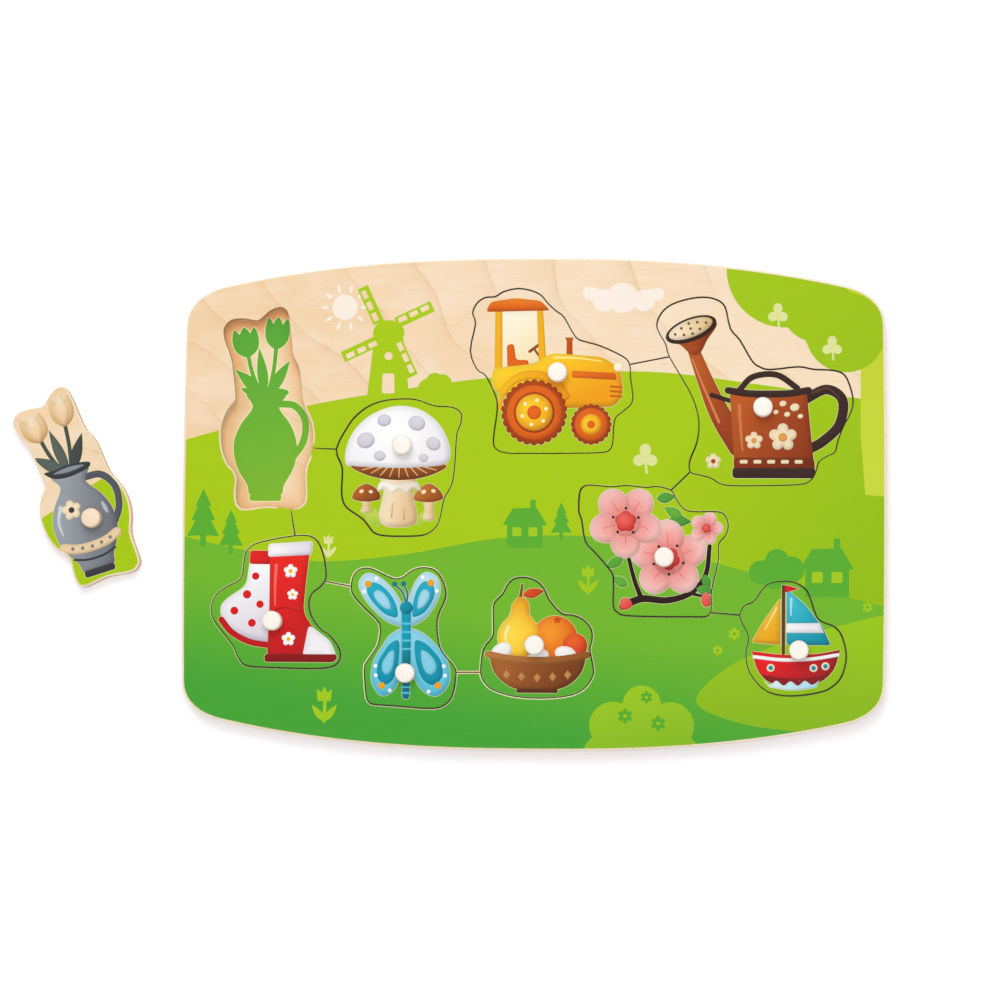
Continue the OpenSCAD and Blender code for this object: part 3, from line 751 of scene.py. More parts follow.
def cottage(x, y, size, ink, light):
    def box(left, low, right, high):
        return [(left, low), (left, high), (right, high), (right, low)]
    house = [(-0.4, -0.1), (-0.4, 0.42), (-0.5, 0.4), (-0.28, 0.78), (0.26, 0.8), (0.5, 0.4), (0.4, 0.42),
             (0.4, -0.1)]
    parts = (
        (ink, house, 0.03), (ink, box(0.12, 0.7, 0.24, 0.98), 0.02),
        (light, box(-0.28, 0.16, -0.08, 0.36), 0.03), (light, box(0.08, 0.16, 0.28, 0.36), 0.03),
    )
    return [(own, corners(scaled(points, x, y, size), rounding * size)) for own, points, rounding in parts]


def daisy(x, y, size, ink, eye):
    return [(ink, petals(x, y, size, 6, 0.45)), (eye, oval(x, y, 0.24 * size, count=16))]


def clover(x, y, size, ink):
    leaves = [(ink, oval(px, py, 0.34 * size, 0.3 * size, turn, 20))
              for px, py, turn in around(x, y, 0.36 * size, 3, 90)]
    return leaves + [(ink, strip([(x, y - 0.1 * size), (x + 0.08 * size, y - 0.85 * size)], 0.13 * size))]


def sun(x, y, size, ink):
    rays = [(ink, leaf(px, py, 0.36 * size, 0.13 * size, turn))
            for px, py, turn in around(x, y, 0.6 * size, 10)]
    return [(ink, oval(x, y, 0.5 * size)), *rays]


field, shadow, lime, pale = (greens[key] for key in ("field", "shadow", "lime", "pale"))
cloudInk = thin("#FFFBFA", 0.6)
background = (
    sun(-81, 84, 11, thin("#FFFDF8", 0.6))
    + [(cloudInk, crown(38, 88, [(0, 0, 6.5), (188, 8, 4.8), (172, 14, 3), (-8, 9, 4.6), (6, 15, 2.8)]))]
    + [(field, hill(skyline))]
    + windmill(-62, 42, 50, field)
    + [(field, crown(-42, 50, [(200, 3, 4.4), (20, 3.5, 4), (90, 2, 3.8)]))]
    + [(greens["trunk"], corners([(141, 4), (139, 30), (139, 70), (130, 100), (165, 110), (165, 2)]))]
    + [(greens["tree"], crown(112, 87, [(110, 14, 25), (-34, 25, 17), (-20, 9, 15)]))]
    + clover(104, 81, 6.5, pale) + clover(127, 67, 6.5, pale)
    + [(greens["near"], hill(nearHill))]
    + pine(-141, -19, 25, shadow) + pine(-129, -22, 19, shadow)
    + cottage(-3, -17, 19, shadow, lime)
    + pine(12.5, -15.5, 16, shadow)
    + [(shadow, crown(103, -29, [(0, 0, 7), (180, 6, 5), (10, 7, 5.6), (80, 5, 5)]))]
    + cottage(125, -37, 23, shadow, lime)
    + [(greens["pond"], smooth([(70, -84), (82, -70), (103, -60), (128, -52), (160, -48), (165, -80),
                                (160, -104), (120, -97), (90, -93)]))]
    + [(greens["bush"], crown(47, -101,
                              [(90, 8, 10.5), (150, 14, 10), (30, 14, 10), (90, 16, 8), (200, 17, 9),
                               (-20, 17, 9)]))]
    + daisy(40, -90, 3.2, shadow, lime) + daisy(54, -93, 3.2, shadow, lime)
    + daisy(49, -82, 2.6, shadow, lime)
    + tulip(-87, -23, 11, pale) + tulip(-88, -93, 17, lime) + tulip(24, -38, 14, lime)
    + clover(48, 20, 8, pale)
    + daisy(86, -55, 2.6, lime, shadow) + daisy(79, -62, 2.2, lime, shadow)
    + daisy(142, -43.5, 2.2, lime, shadow)
)


# Motifs of the sawn pieces, in mm from the lower left of each piece; the third item marks outer shapes

steel = fade("#A3A8B0", "#6C7178", (6, 30), (32, 22))


def jugBloom(x, y, w, h, turn=0):
    outer = [(0, -0.5), (-0.4, -0.28), (-0.5, 0.1), (-0.38, 0.46), (-0.12, 0.2), (0, 0.3),
             (0.12, 0.2), (0.38, 0.46), (0.5, 0.1), (0.4, -0.28)]
    inner = [(0, -0.46), (-0.24, -0.2), (-0.26, 0.14), (0, 0.5), (0.26, 0.14), (0.24, -0.2)]
    return [(fade(first, last, (x, y + h / 2), (x, y - h / 2)),
             smooth(turnedBy([(a * w, b * h) for a, b in points], turn) + (x, y)), True)
            for first, last, points in (("#F7D9AC", "#E2AC70", outer), ("#FCE9CC", "#EDC390", inner))]


motifs = {}
motifs["jug"] = [
    ("#4A5350", strip([(17, 48), (12.5, 58), (10, 68)], 1.7), True),
    ("#4A5350", strip([(19, 48), (21.5, 60), (22.6, 71)], 1.7), True),
    ("#59645C", leaf(17.5, 49, 17, 5.2, 138), True),
    ("#434B49", leaf(19, 49, 18, 5, 58), True),
    ("#59645C", leaf(18, 49, 21, 4.6, 98), True),
    *jugBloom(9.3, 72, 11.5, 13, 8),
    *jugBloom(22.9, 76, 10.6, 14, -4),
    ("#54585F", strip([(24, 45.5), (31, 44.5), (35.4, 38), (34.6, 29), (29.5, 21.5)], 3.0), True),
    (steel, smooth([(10.5, 50), (12.6, 44), (7.5, 36.5), (4.6, 28.5), (5.8, 19), (10.6, 10.5), (12.6, 6),
                    (24.6, 6), (26.6, 10.5), (31, 19), (31.8, 28.5), (29, 36.5), (24, 44), (26.6, 50)]), True),
    ("#3A3D42", smooth([(7.6, 52.2), (11.5, 48.6), (18.5, 47.6), (26.8, 49), (27.4, 51.4), (19, 52.8),
                        (12, 52.2)]), True),
    ("#8E939A", smooth([(11.2, 50.8), (18.5, 49.6), (25.4, 50.6), (18.8, 51.8)])),
    ("#F0D2A4", strip([(6.4, 18.6), (12, 16.6), (18.4, 16), (25, 16.6), (30.4, 18.6)], 4.2)),
    ("#3A3D42", strip([(9.4, 12.6), (14, 11.2), (18.6, 10.8), (23.4, 11.2), (27.8, 12.6)], 1.0)),
    *dots("#7E8288", ((10, 17.4), (14.2, 16.4), (18.5, 16), (22.8, 16.4), (27, 17.4)), 0.8),
    ("#3A3D42", corners([(11.8, 3.6), (11.8, 6.6), (25.4, 6.6), (25.4, 3.6)], 1.2), True),
    ("#D3D7DC", strip([(10.2, 36), (7.6, 30), (7.8, 24)], 1.9, 0.8)),
    ("#FBE3BE", petals(14.4, 33.6, 4.3, 5, 0.35)),
    ("#3A3D42", oval(14.4, 33.6, 1.3, count=18)),
    ("#B9BEC5", oval(28.6, 30.5, 0.9, 3.0, 12, 18)),
]
motifs["mushroom"] = [
    (fade("#C7DD5C", "#A9CB2A", (0, 12), (0, 3)), leaf(17.5, 4.5, 9, 2.8, 128), True),
    (fade("#C7DD5C", "#A9CB2A", (0, 12), (0, 3)), leaf(18.5, 4, 8, 2.6, 104), True),
    (fade("#C7DD5C", "#A9CB2A", (0, 12), (0, 3)), leaf(35, 5, 8, 2.6, 58), True),
    (fade("#F7E0BA", "#DDB27C", (38, 12), (43, 12)),
     smooth([(37.8, 16), (38.2, 11), (37.2, 7.6), (40, 6.6), (42.6, 7.6), (41.8, 11), (42, 16)]), True),
    (fade("#C9772F", "#9A4E17", (36, 21), (43, 15)),
     smooth([(33.6, 15.6), (35, 19.6), (39.8, 22.6), (44.4, 19.8), (45.8, 16), (39.8, 14.6)]), True),
    ("#F7E0BA", oval(37.6, 19, 1.1, 0.9, 30, 16)), ("#F7E0BA", oval(41.8, 19.4, 1.0, 0.8, -20, 16)),
    (fade("#F7E0BA", "#DDB27C", (11, 12), (15, 12)),
     smooth([(11.4, 17), (11.6, 13), (10.8, 10.6), (13, 9.8), (15.2, 10.6), (14.6, 13), (14.8, 17)]), True),
    (fade("#B8641F", "#8E4614", (9, 20), (16, 15)),
     smooth([(7.2, 16), (8.6, 20), (13, 22.4), (17.6, 20), (19, 16), (13, 14.8)]), True),
    ("#F7E0BA", oval(11, 19.2, 1.0, 0.8, 30, 16)), ("#F7E0BA", oval(15, 19, 0.9, 0.7, -20, 16)),
    (fade("#FCE9C8", "#E3BC88", (20, 16), (35, 14)),
     smooth([(19.5, 28), (20.6, 19), (18.6, 9), (21, 4.6), (27, 3.8), (33.6, 5), (35, 9.4), (33, 18),
             (34, 28)]), True),
    ("#CE9A62", strip([(24, 8), (24.4, 14)], 0.6, 0.3)), ("#CE9A62", strip([(29.4, 7), (29.2, 12)], 0.6, 0.3)),
    (fade("#A65A1C", "#7F3F10", (27, 31), (27, 24.5)),
     smooth([(6.2, 30), (15, 25.6), (27, 24), (39, 25.6), (47.4, 30), (39, 32), (27, 32.6), (15, 32)]), True),
    *[("#E9C699", strip([(27 + 0.5 * k, 30.5), (27 + k, 25.2 + 0.012 * k * k)], 0.55, 0.3))
      for k in range(-16, 17, 4)],
    (fade("#FFF9EC", "#E9DCC8", (20, 23), (34, 20)),
     smooth([(19.4, 23.4), (27, 22.4), (34.4, 23.4), (36.4, 19.4), (33, 20.4), (30.4, 18.2), (27.2, 20),
             (24, 18.2), (21, 20.4), (17.8, 19.2)])),
    (glow("#FFFFFF", "#E6E2EA", (21, 47), 36),
     smooth([(4.2, 31), (4.4, 38), (8, 45.6), (15, 52), (25, 55.6), (35, 54.4), (43, 49), (47.6, 41.4),
             (48.8, 34), (45.6, 30.6), (36, 29.6), (26, 29.2), (15, 29.6), (7.6, 30)]), True),
    *[(fade("#E4DEE8", "#CFC8D6", (x, y + r), (x, y - r)), oval(x, y, r * 1.15, r, t, 24))
      for x, y, r, t in ((12.6, 41, 3.4, 20), (20.4, 49.6, 2.6, 10), (34.4, 48.4, 3.2, -15),
                         (41.6, 39.6, 2.8, -30), (18.6, 34.4, 2.2, 0), (37.4, 33.6, 1.8, 0))],
]
tyre = glow("#D9590F", "#A63C06", (27.5, 17.5), 15)
motifs["tractor"] = [
    ("#C94F08", corners([(41, 40), (41.2, 48.2), (40.4, 49.6), (44.2, 49.6), (43.6, 48.2), (43.8, 40)], 0.6),
     True),
    (fade("#FFF8E2", "#F9E4B0", (15, 58), (28, 38)),
     corners([(12.6, 34), (12.2, 61), (30.4, 61.6), (31.6, 38)], 1.5), True),
    ("#E8650F", corners([(16, 35), (15.6, 46.5), (18.6, 47), (19.6, 40), (25, 40), (25, 36)], 1.4)),
    ("#9A4A10", strip([(30.6, 40), (27.4, 44.6)], 1.0)), ("#9A4A10", strip([(25.4, 43.6), (29.2, 46.4)], 1.3)),
    ("#F9B413", corners([(10.4, 30), (10.6, 61), (13.6, 61), (13.8, 30)], 0.5), True),
    ("#F9B413", corners([(29.4, 38), (28.4, 61.6), (31, 61.6), (32.6, 38)], 0.5), True),
    (fade("#F3831B", "#D9560C", (20, 66), (20, 61)),
     corners([(6.4, 60.6), (8.6, 65), (19, 66.6), (30, 65.4), (34.2, 61.2)], 1.8), True),
    (fade("#FFD426", "#F4A20B", (30, 42), (40, 20)),
     corners([(9.6, 27), (9.2, 36.4), (28, 38.4), (34.4, 43), (57, 41.2), (64.2, 36), (65.6, 25.6), (62, 20),
              (30, 19)], 3.2), True),
    (fade("#F07A17", "#DD5D0C", (40, 33), (62, 28)),
     corners([(43.4, 32.4), (43.4, 35.4), (62, 34.4), (62.6, 31.4)], 0.8)),
    *[("#C9620C", strip([(60.2, y), (64.6, y - 0.3)], 0.9)) for y in (28.6, 26.6, 24.6)],
    ("#FFF6D8", oval(63.2, 37.0, 1.9, 2.0, 0, 20), True),
    ("#FFE883", strip([(36, 41), (46, 40.8), (56, 39.4)], 1.1, 0.5)),
    (fade("#FBBE17", "#F09A0A", (14, 34), (40, 30)),
     np.vstack([curve([(11.6, 19), (13.4, 28), (20, 34.2), (29, 35.4), (38, 32), (43.2, 24)]),
                curve([(40.2, 22), (35, 29), (28, 31.6), (20, 30), (14.6, 24), (13.8, 18)])]), True),
    (tyre, petals(27.5, 17.5, 14.2, 26, 0.07, steps=156), True),
    ("#E8650F", oval(27.5, 17.5, 11.6)), ("#B74607", oval(27.5, 17.5, 8.8)),
    (glow("#FFD426", "#F4A20B", (26, 19), 9), oval(27.5, 17.5, 7.8)),
    ("#E8650F", oval(27.5, 17.5, 3.0, count=24)),
    *dots("#FFF3C4", ring(27.5, 17.5, 5.3, 6, 17.19), 0.8, 12),
    (glow("#D9590F", "#A63C06", (51.8, 12.4), 9), petals(51.8, 12.4, 8.8, 20, 0.08, steps=120), True),
    ("#E8650F", oval(51.8, 12.4, 6.9)),
    (glow("#FFD426", "#F4A20B", (51, 13), 5), oval(51.8, 12.4, 4.4, count=28)),
    ("#E8650F", oval(51.8, 12.4, 1.7, count=20)),
]
rust = fade("#C05A1F", "#8C330F", (34, 34), (66, 12))
bark = "#3A2320"
motifs["watering_can"] = [
    (bark, strip([(62.5, 36.5), (72, 41), (78.8, 36.4), (77.4, 26), (70.6, 19), (64.5, 15.5)], 4.2), True),
    ("#5A3A33", strip([(66, 39.6), (72.6, 41.4), (77.6, 37)], 0.9, 0.5)),
    (bark, strip([(35.4, 41), (41, 46.4), (51, 47.2), (59.6, 41.6)], 2.6), True),
    (fade("#BE5A20", "#963A12", (16, 50), (32, 18)),
     strip([(36, 17), (27.6, 29.4), (21.4, 43), (15.6, 58)], 11, 5), True),
    ("#D98250", strip([(26.6, 27), (19.6, 43), (15.2, 54)], 1.1, 0.6)),
    (bark, strip([(23.4, 38.6), (33, 35.6)], 2.0), True),
    (fade("#B9521B", "#8C330F", (6, 62), (22, 70)),
     smooth([(4.6, 62.4), (10, 60), (15, 55.8), (18.6, 56.8), (21.4, 62), (25.4, 69.6), (14, 69)]), True),
    (bark, oval(14.6, 66.6, 11.4, 5.0, 21), True),
    (fade("#F9E8C6", "#E3C38F", (8, 66), (22, 68)), oval(14.4, 67.0, 9.8, 3.7, 21)),
    *dots("#7A4A2C", turnedBy([(-7, 0), (-3.6, 1.5), (-3.6, -1.5), (0, 0), (3.6, 1.5), (3.6, -1.5),
                               (7, 0), (0, 2.3), (0, -2.3)], 21.03) + (14.4, 67), 0.62, 10),
    (rust, corners([(33.2, 7), (31, 40.6), (63.6, 40.6), (67, 7)], 2.5), True),
    (fade("#8C330F", "#77290B", (34, 12), (66, 8)),
     corners([(33.0, 6.2), (32.7, 12), (66.8, 12), (67.2, 6.2)], 1.8), True),
    (bark, strip([(30.4, 40.6), (40, 39.2), (55, 39.2), (64.4, 40.6)], 3.0), True),
    (bark, corners([(32.4, 3.2), (32.2, 7.6), (67.4, 7.6), (67.2, 3.2)], 1.5), True),
    *[("#F5E2BC", corners([(x, 9.4), (x, 11), (x + 3.4, 11), (x + 3.4, 9.4)], 0.7))
      for x in (35.4, 41.2, 47, 52.8, 58.6)],
    ("#D77C48", strip([(35.2, 34), (36, 22), (36.6, 15)], 1.6, 0.8)),
    *[("#F5E2BC", oval(x, y, r, r * 0.82, 15, 20))
      for x, y, r in ((53.6, 35, 1.5), (58.6, 33.4, 2.0), (55.4, 30.4, 1.3), (61, 29.6, 1.2),
                      (50.6, 31.4, 1.1))],
    ("#F5E2BC", petals(53.6, 20.6, 6.0, 5, 0.38)), ("#E2A24E", oval(53.6, 20.6, 1.9, count=20)),
    ("#F5E2BC", petals(41.4, 19.2, 3.8, 5, 0.38)), ("#E2A24E", oval(41.4, 19.2, 1.2, count=16)),
    ("#F5E2BC", petals(24.2, 10.4, 3.2, 5, 0.4), True), ("#A8431A", oval(24.2, 10.4, 1.0, count=14)),
]
motifs["boots"] = [
    (fade("#FFFFFF", "#DCD6E2", (10, 40), (24, 14)),
     corners([(17, 49.6), (28.4, 49.2), (28, 34), (27, 10.6), (16.4, 12.4), (8.6, 16.6), (4.2, 22), (4, 27.2),
              (8.6, 31.2), (15, 35)], 3.6), True),
    ("#C4161C", strip([(4.4, 20.8), (9, 15.4), (16.6, 11.4), (26, 9.8)], 2.6), True),
    (fade("#EE1F1C", "#C4161C", (17, 49), (28, 46)),
     corners([(16.2, 44.6), (16.6, 50.4), (29, 50.2), (28.6, 44.4)], 1.2), True),
    *dots("#E3120F", ((19, 39.4, 1.6), (15.4, 31.6, 1.8), (21, 27.4, 1.6), (10, 24.6, 1.7), (17.6, 19.4, 1.7)),
          count=18),
    (fade("#F2231D", "#BE141B", (27, 46), (46, 6)),
     corners([(25, 53), (42.6, 54), (40.6, 36), (39.6, 24), (44.6, 16.4), (50.6, 12.4), (53.4, 7), (52.6, 4.4),
              (24.2, 4.4), (25, 22)], 3.4), True),
    (fade("#FFFFFF", "#E6E0EA", (25, 52), (43, 50)),
     corners([(24.2, 47.6), (24.4, 53.2), (43.4, 54.4), (43, 48.6)], 1.3), True),
    ("#F6F2F6", corners([(39.4, 5), (42, 18.8), (47.4, 15), (51.4, 12), (53.8, 6.6), (53.4, 4.6)], 2.2)),
    ("#8E1116", corners([(23.2, 2.8), (23.2, 6.2), (54, 6.2), (54.4, 4.4), (52.6, 2.8)], 1.2), True),
    ("#B5171C", strip([(26, 24), (31, 26), (38.6, 24.4)], 1.0, 0.5)),
    ("#FF6A60", strip([(27.8, 44), (27.4, 34), (27.6, 27)], 1.5, 0.7)),
    *[("#FFFFFF", petals(x, y, r, 5, 0.36))
      for x, y, r in ((34, 41.6, 3.0), (35, 31.6, 2.4), (33.4, 12.6, 3.0))],
    *dots("#F3B81C", ((34, 41.6, 0.9), (35, 31.6, 0.7), (33.4, 12.6, 0.9))),
]
wingLight = fade("#BDE6F4", "#5CC5E0", (20, 55), (24, 8))
wings = [
    smooth([(23, 35), (16, 36.6), (9.6, 42), (4.8, 48.2), (3.4, 53.6), (7, 57.4), (13.4, 55), (19.6, 48.4),
            (23, 41)]),
    smooth([(24.4, 35), (31, 37.4), (35.6, 43), (38.2, 49.4), (37.2, 55.4), (32, 58), (27.6, 54), (25, 47),
            (24.2, 41)]),
    smooth([(23, 33), (17.4, 31.6), (13.6, 26.4), (9.8, 19.6), (9.2, 11), (13.6, 5.2), (19.4, 8.6),
            (22.8, 19)]),
    smooth([(24.6, 33), (31, 32), (36.6, 27), (41.6, 20), (42.4, 11), (37, 5.2), (30, 8.6), (25.6, 19)]),
]
motifs["butterfly"] = [
    *[(wingLight, w, True) for w in wings],
    *[(fade("#1FB2CC", "#0093B0", (20, 55), (24, 8)), shrunk(w, 0.66)) for w in wings],
    *[(fade("#A9DDF0", "#79CFE6", (20, 55), (24, 8)), shrunk(w, 0.36)) for w in wings],
    *dots("#F6A81C", ((7.4, 52.8), (34.2, 53.4), (13.6, 9.6), (37.6, 9.8)), 1.5, 16),
    *dots("#FFFFFF", ((5.6, 49.6), (10.8, 55.2), (36.8, 50), (30.6, 55.8), (11, 14), (10.8, 18), (40.6, 14),
                      (40, 18), (17, 7.6), (33.6, 7.2)), 0.8, 12),
    ("#057A90", strip([(23.8, 44), (22, 49.4), (18.8, 52.6)], 0.9), True),
    ("#057A90", strip([(23.8, 44), (24.2, 49), (22.6, 52.8)], 0.9), True),
    *dots("#057A90", ((18.7, 52.8), (22.5, 53.0)), 1.1),
    (fade("#0AA0BA", "#04768C", (22, 30), (26, 20)), strip([(23.9, 5.4), (24, 20), (23.8, 40.4)], 3.2, 4.0),
     True),
    *[("#5CC5E0", strip([(22.2, y), (25.6, y)], 0.8)) for y in (36, 32.4, 28.8, 25.2, 9, 6.6)],
    (fade("#0AA0BA", "#04768C", (22, 45), (26, 41)), oval(23.8, 42.8, 2.8, count=24), True),
]
motifs["fruit_bowl"] = [
    (fade("#E8571C", "#C93F12", (20, 49), (25, 44)), leaf(17.6, 43.6, 9.6, 4.2, 12), True),
    ("#8A4A1C", strip([(16.6, 42), (17.4, 48)], 1.4, 1.0), True),
    (glow("#F79A28", "#E15C0A", (29, 28), 12), oval(31.4, 25.4, 9.6), True),
    ("#C94F08", petals(32.4, 33.2, 1.6, 5, 0.5, steps=40)),
    (glow("#F0642A", "#CC3614", (39, 24.6), 7), oval(40.0, 22.4, 5.2), True),
    (glow("#FFE04A", "#F2A015", (12.6, 27), 16),
     smooth([(15.6, 17), (9.4, 19.4), (7, 25), (8.4, 30.6), (12, 35), (13.4, 40), (16.8, 43), (20.2, 40.4),
             (20.8, 35.4), (24, 30.6), (25.2, 25), (22.6, 19.4)]), True),
    ("#FFF3A8", strip([(11.6, 30), (10.4, 26), (11.2, 22.6)], 1.6, 0.7)),
    *[(fade("#FFFFFF", "#E7DFD6", (x, y + 3), (x + 2, y - 3)), oval(x, y, rx, ry, t, 28))
      for x, y, rx, ry, t in ((8.8, 19.8, 4.6, 3.4, 28), (24.6, 17.8, 4.4, 3.2, 10),
                              (36, 18.8, 4.6, 3.2, -12))],
    (fade("#A8622C", "#7A3F17", (12, 17), (34, 4)),
     np.vstack([curve([(3.4, 18.6), (5.6, 11), (11, 5.6), (17, 3.4), (24, 2.9), (31, 3.4), (37.4, 5.6),
                       (42.8, 11), (45, 18.6)]),
                curve([(45, 18.6), (34, 16.2), (24, 15.6), (14, 16.2), (3.4, 18.6)])[1:-1]]), True),
    (fade("#BD7A3E", "#96561F", (4, 19), (44, 17)),
     strip([(3.2, 18.4), (13, 16.6), (24, 16), (35, 16.6), (45.2, 18.4)], 3.0), True),
    *[("#C98A4E", corners([(x - 1.6, 9 + c), (x, 11 + c), (x + 1.6, 9 + c), (x, 7 + c)], 0.3))
      for x, c in ((11, 0.9), (17.4, 0), (24, -0.4), (30.6, 0), (37, 0.9))],
    ("#5E2F10", corners([(15, 2.2), (15.4, 4), (32.6, 4), (33, 2.2)], 0.6), True),
]


def blossom(x, y, r, turn, first="#FBD0CC", last="#EC827A"):
    ink = glow(last, first, (x, y), r)
    rows = [(ink, oval(px, py, 0.46 * r, 0.42 * r, way, 32), True)
            for px, py, way in around(x, y, 0.56 * r, 5, turn)]
    rows.append((ink, oval(x, y, 0.42 * r, count=24)))
    for vein in zip(ring(x, y, 0.3 * r, 5, turn), ring(x, y, 0.66 * r, 5, turn)):
        rows.append(("#EA7F7C", strip(vein, 0.05 * r, 0.02 * r)))
    heart = glow("#F0665C", "#D93A36", (x - 0.05 * r, y + 0.06 * r), 0.3 * r)
    return rows + [(heart, petals(x, y, 0.3 * r, 5, 0.2, turn + 36))]


twig = "#2A1512"
motifs["blossoms"] = [
    (twig, strip([(19, 4.4), (27, 7.6), (38, 7), (48, 10.4), (54, 18), (55.6, 30)], 3.4, 1.8), True),
    (twig, strip([(27, 7.4), (24, 15), (21, 26)], 2.2, 1.6), True),
    (twig, strip([(47.4, 10), (53.6, 8.6)], 1.5, 1.1), True),
    *[(fade("#62B038", "#3F9231", (x, y + 4), (x + 6, y - 4)), leaf(x, y, s, w, t), True)
      for x, y, s, w, t in ((38, 41, 10, 5.2, -4), (33, 50, 8.4, 4.6, 8), (44, 42, 9, 4.6, 150),
                            (19, 25, 9, 4.6, 210), (21, 13, 8, 4.4, 150), (53.4, 18, 7, 4, -72),
                            (50, 12, 8, 4.2, -10))],
    *blossom(38.2, 24.6, 16.4, 20),
    *blossom(20.0, 40.4, 15.4, 54, "#FACBC6", "#EE8A82"),
    *blossom(54.2, 37.6, 6.9, 0, "#FBD0CC", "#EE8A86"),
    (fade("#F08A86", "#E4483F", (52, 12), (56, 6)),
     smooth([(52, 7), (53.4, 4.4), (56, 5), (56.4, 8), (54.4, 10.4), (52.6, 9.4)]), True),
    (fade("#F08A86", "#E4483F", (20, 12), (24, 6)),
     smooth([(17.6, 6), (18.2, 3.4), (21, 3.0), (23, 5), (21.6, 7.6), (19, 8)]), True),
    *dots(twig, ring(20, 40.4, 5.6, 5, 17.19), 0.62, 12),
    *dots(twig, ring(38.2, 24.6, 6.6, 5, 56.15), 0.62, 12),
]
motifs["sailboat"] = [
    ("#6B3A1E", strip([(18.3, 18), (18.3, 46.2)], 1.5), True),
    (fade("#F5C52A", "#EE9F18", (8, 34), (16, 22)),
     corners([(17.0, 41.4), (17.0, 21.4), (4.8, 22.6), (9.6, 31)], 1.2), True),
    (fade("#45C6D8", "#0C8EA6", (20, 42), (36, 22)),
     corners([(19.6, 45.4), (19.6, 21.4), (38.4, 21.4), (34.6, 29.4), (27.4, 38.6)], 1.6), True),
    (fade("#FFFFFF", "#E9E6EC", (20, 30), (36, 27)),
     corners([(19.6, 26.6), (19.6, 30.6), (33.4, 30.8), (35.4, 26.6)], 0.3)),
    ("#E01820", corners([(19, 46.9), (19, 43.6), (25, 45.2)], 0.5), True),
    ("#FBE08A", strip([(15.4, 37), (10.6, 28)], 0.9, 0.5)),
    ("#A6E2EC", strip([(21.6, 41), (21.4, 34)], 1.1, 0.6)),
    (fade("#EC1C22", "#A81E22", (14, 18), (32, 5)),
     np.vstack([curve([(5.0, 18.8), (7.6, 10.6), (12, 6), (18, 4.4), (28, 4.4), (34.6, 6.4), (39.6, 11.4),
                       (42.2, 19.6)]),
                curve([(42.2, 19.6), (32, 17.8), (18, 17.4), (5.0, 18.8)])[1:-1]]), True),
    ("#8E1A1E", np.vstack([curve([(8.8, 8.9), (12, 6), (18, 4.4), (28, 4.4), (34.6, 6.4), (37.4, 9)]),
                           curve([(37.4, 9), (23, 7.4), (8.8, 8.9)])[1:-1]])),
    ("#FFFFFF", strip([(6.0, 16.4), (18, 15.2), (30, 15.6), (41.2, 17.4)], 1.5)),
    *dots("#FBE9C9", ((13.0, 11.8), (31.0, 11.8), (36, 12.6)), 1.7, 18),
    *dots("#0E93AB", ((13.0, 11.8), (31.0, 11.8), (36, 12.6)), 1.0),
    (fade("#DFF4F8", "#A9DDF0", (12, 5), (34, 3)),
     np.vstack([curve([(10, 6.6), (12.6, 4.6), (15.4, 6.4), (18.4, 4.4), (21.4, 6.2), (24.4, 4.4), (27.4, 6.4),
                       (30.4, 4.8), (33.6, 6.8)]), curve([(32, 3.6), (22, 2.4), (12.6, 3.6)])]), True),
]


def placed(prints, x, y):        # a motif's prints moved from its own corner to its place on the board
    rows = []
    for ink, points, *outer in prints:
        if isinstance(ink, dict):
            ink = dict(ink, start=(ink["start"][0] + x, ink["start"][1] + y))
            if "end" in ink:
                ink["end"] = (ink["end"][0] + x, ink["end"][1] + y)
        rows.append((ink, np.array(points, float) + (x, y), *outer))
    return rows


def withEdge(prints, ink, width):     # a thin pale trap line round a motif, its shapes shaded softly
    rows = [(ink, grown(points, width)) for _, points, *outer in prints if outer]
    for own, points, *outer in prints:
        if own is not None and softWidth(points) > relief["least"]:
            outline = points if signedArea(points) > 0 else points[::-1]
            own = dict(thin(own, 1.0) if isinstance(own, str) else own, outline=outline)
        rows.append((own, points))
    return rows


# The sheets: where the sawn pieces belong, and how their edges are eased, in mm

sawn = {
    "kerf": 0.5,
    "fineRim": 0.12,             # easing of every sawn edge
    "chipRim": 0.3,              # how much wider it is where the board's edge is chipped
    "jugRim": 0.75,              # bare wood round the empty opening
    "jugEase": 0.35,             # its rounding
    "looseRim": 0.75,
    "looseEase": 0.45,
    "boardRim": 1.0,
    "boardEase": 0.85,
    "trap": 0.16,                # pale line round each motif
    "trapInk": ("#DCE892", 0.45),
    "scorchAndShade": ("#E0974E", "#F7DAB2", 0.85),  # walls of the empty opening: saw scorch together with painted shade, warm and darkest at the top
    "fadeFrom": (0, 80),         # where both fade, down along the opening; the painted shade is darkest at the top
    "fadeTo": (0, 52),
    "openTrap": 0.32,            # pale line round the silhouette in it
    "openTrapInk": ("#F4F2B8", 0.8),
    "gridStep": 1.6,             # spacing of the points that carry the soft shading, on the pieces
    "boardStep": 4.0,            # and on the two boards
    "backingRim": 0.3,           # the lower board's upper edge
    "backingEase": 0.25,
    "backingFoot": 0.8,          # bevel of its lower edge
    "beside": (1.6, 0.8),        # how near the wide rim keeps to the empty opening, over what length it ends
    "narrowing": 4,              # how far from the corners of the saw cuts it begins to narrow
    "jugOpening": (-114.0, 40.754),
    "jugLies": (-196.6, 7.56),
    "jugTurn": 18,
    # black of saw burn, and painted shade where the gap lies open
    "burnAndGapShade": "#101C02",
    # pale of chipped edges, and a painted glint where they meet the light
    "chipsAndGlint": "#F8F6CC",
    "blackest": 0.9,             # the most of an edge that shows black, and pale
    "palest": 0.8,
    "blackFades": 0.8,           # how much of the black is gone at the foot of a wall
    "shutFrom": 0.3,             # how far a piece leans on a wall before the wall's pale chips and painted glint show
    "leastPale": 0.65,
    "paintedRecessShadow": ("#EC9E4C", "#E6B67E", 0.85),   # painted shadow, warm, on the floor along the walls of the empty opening
    "recessShadowReach": 10,
    "recessShadowShift": (1.6, -1.3),   # the painted shadow reaches further in at the upper left
}
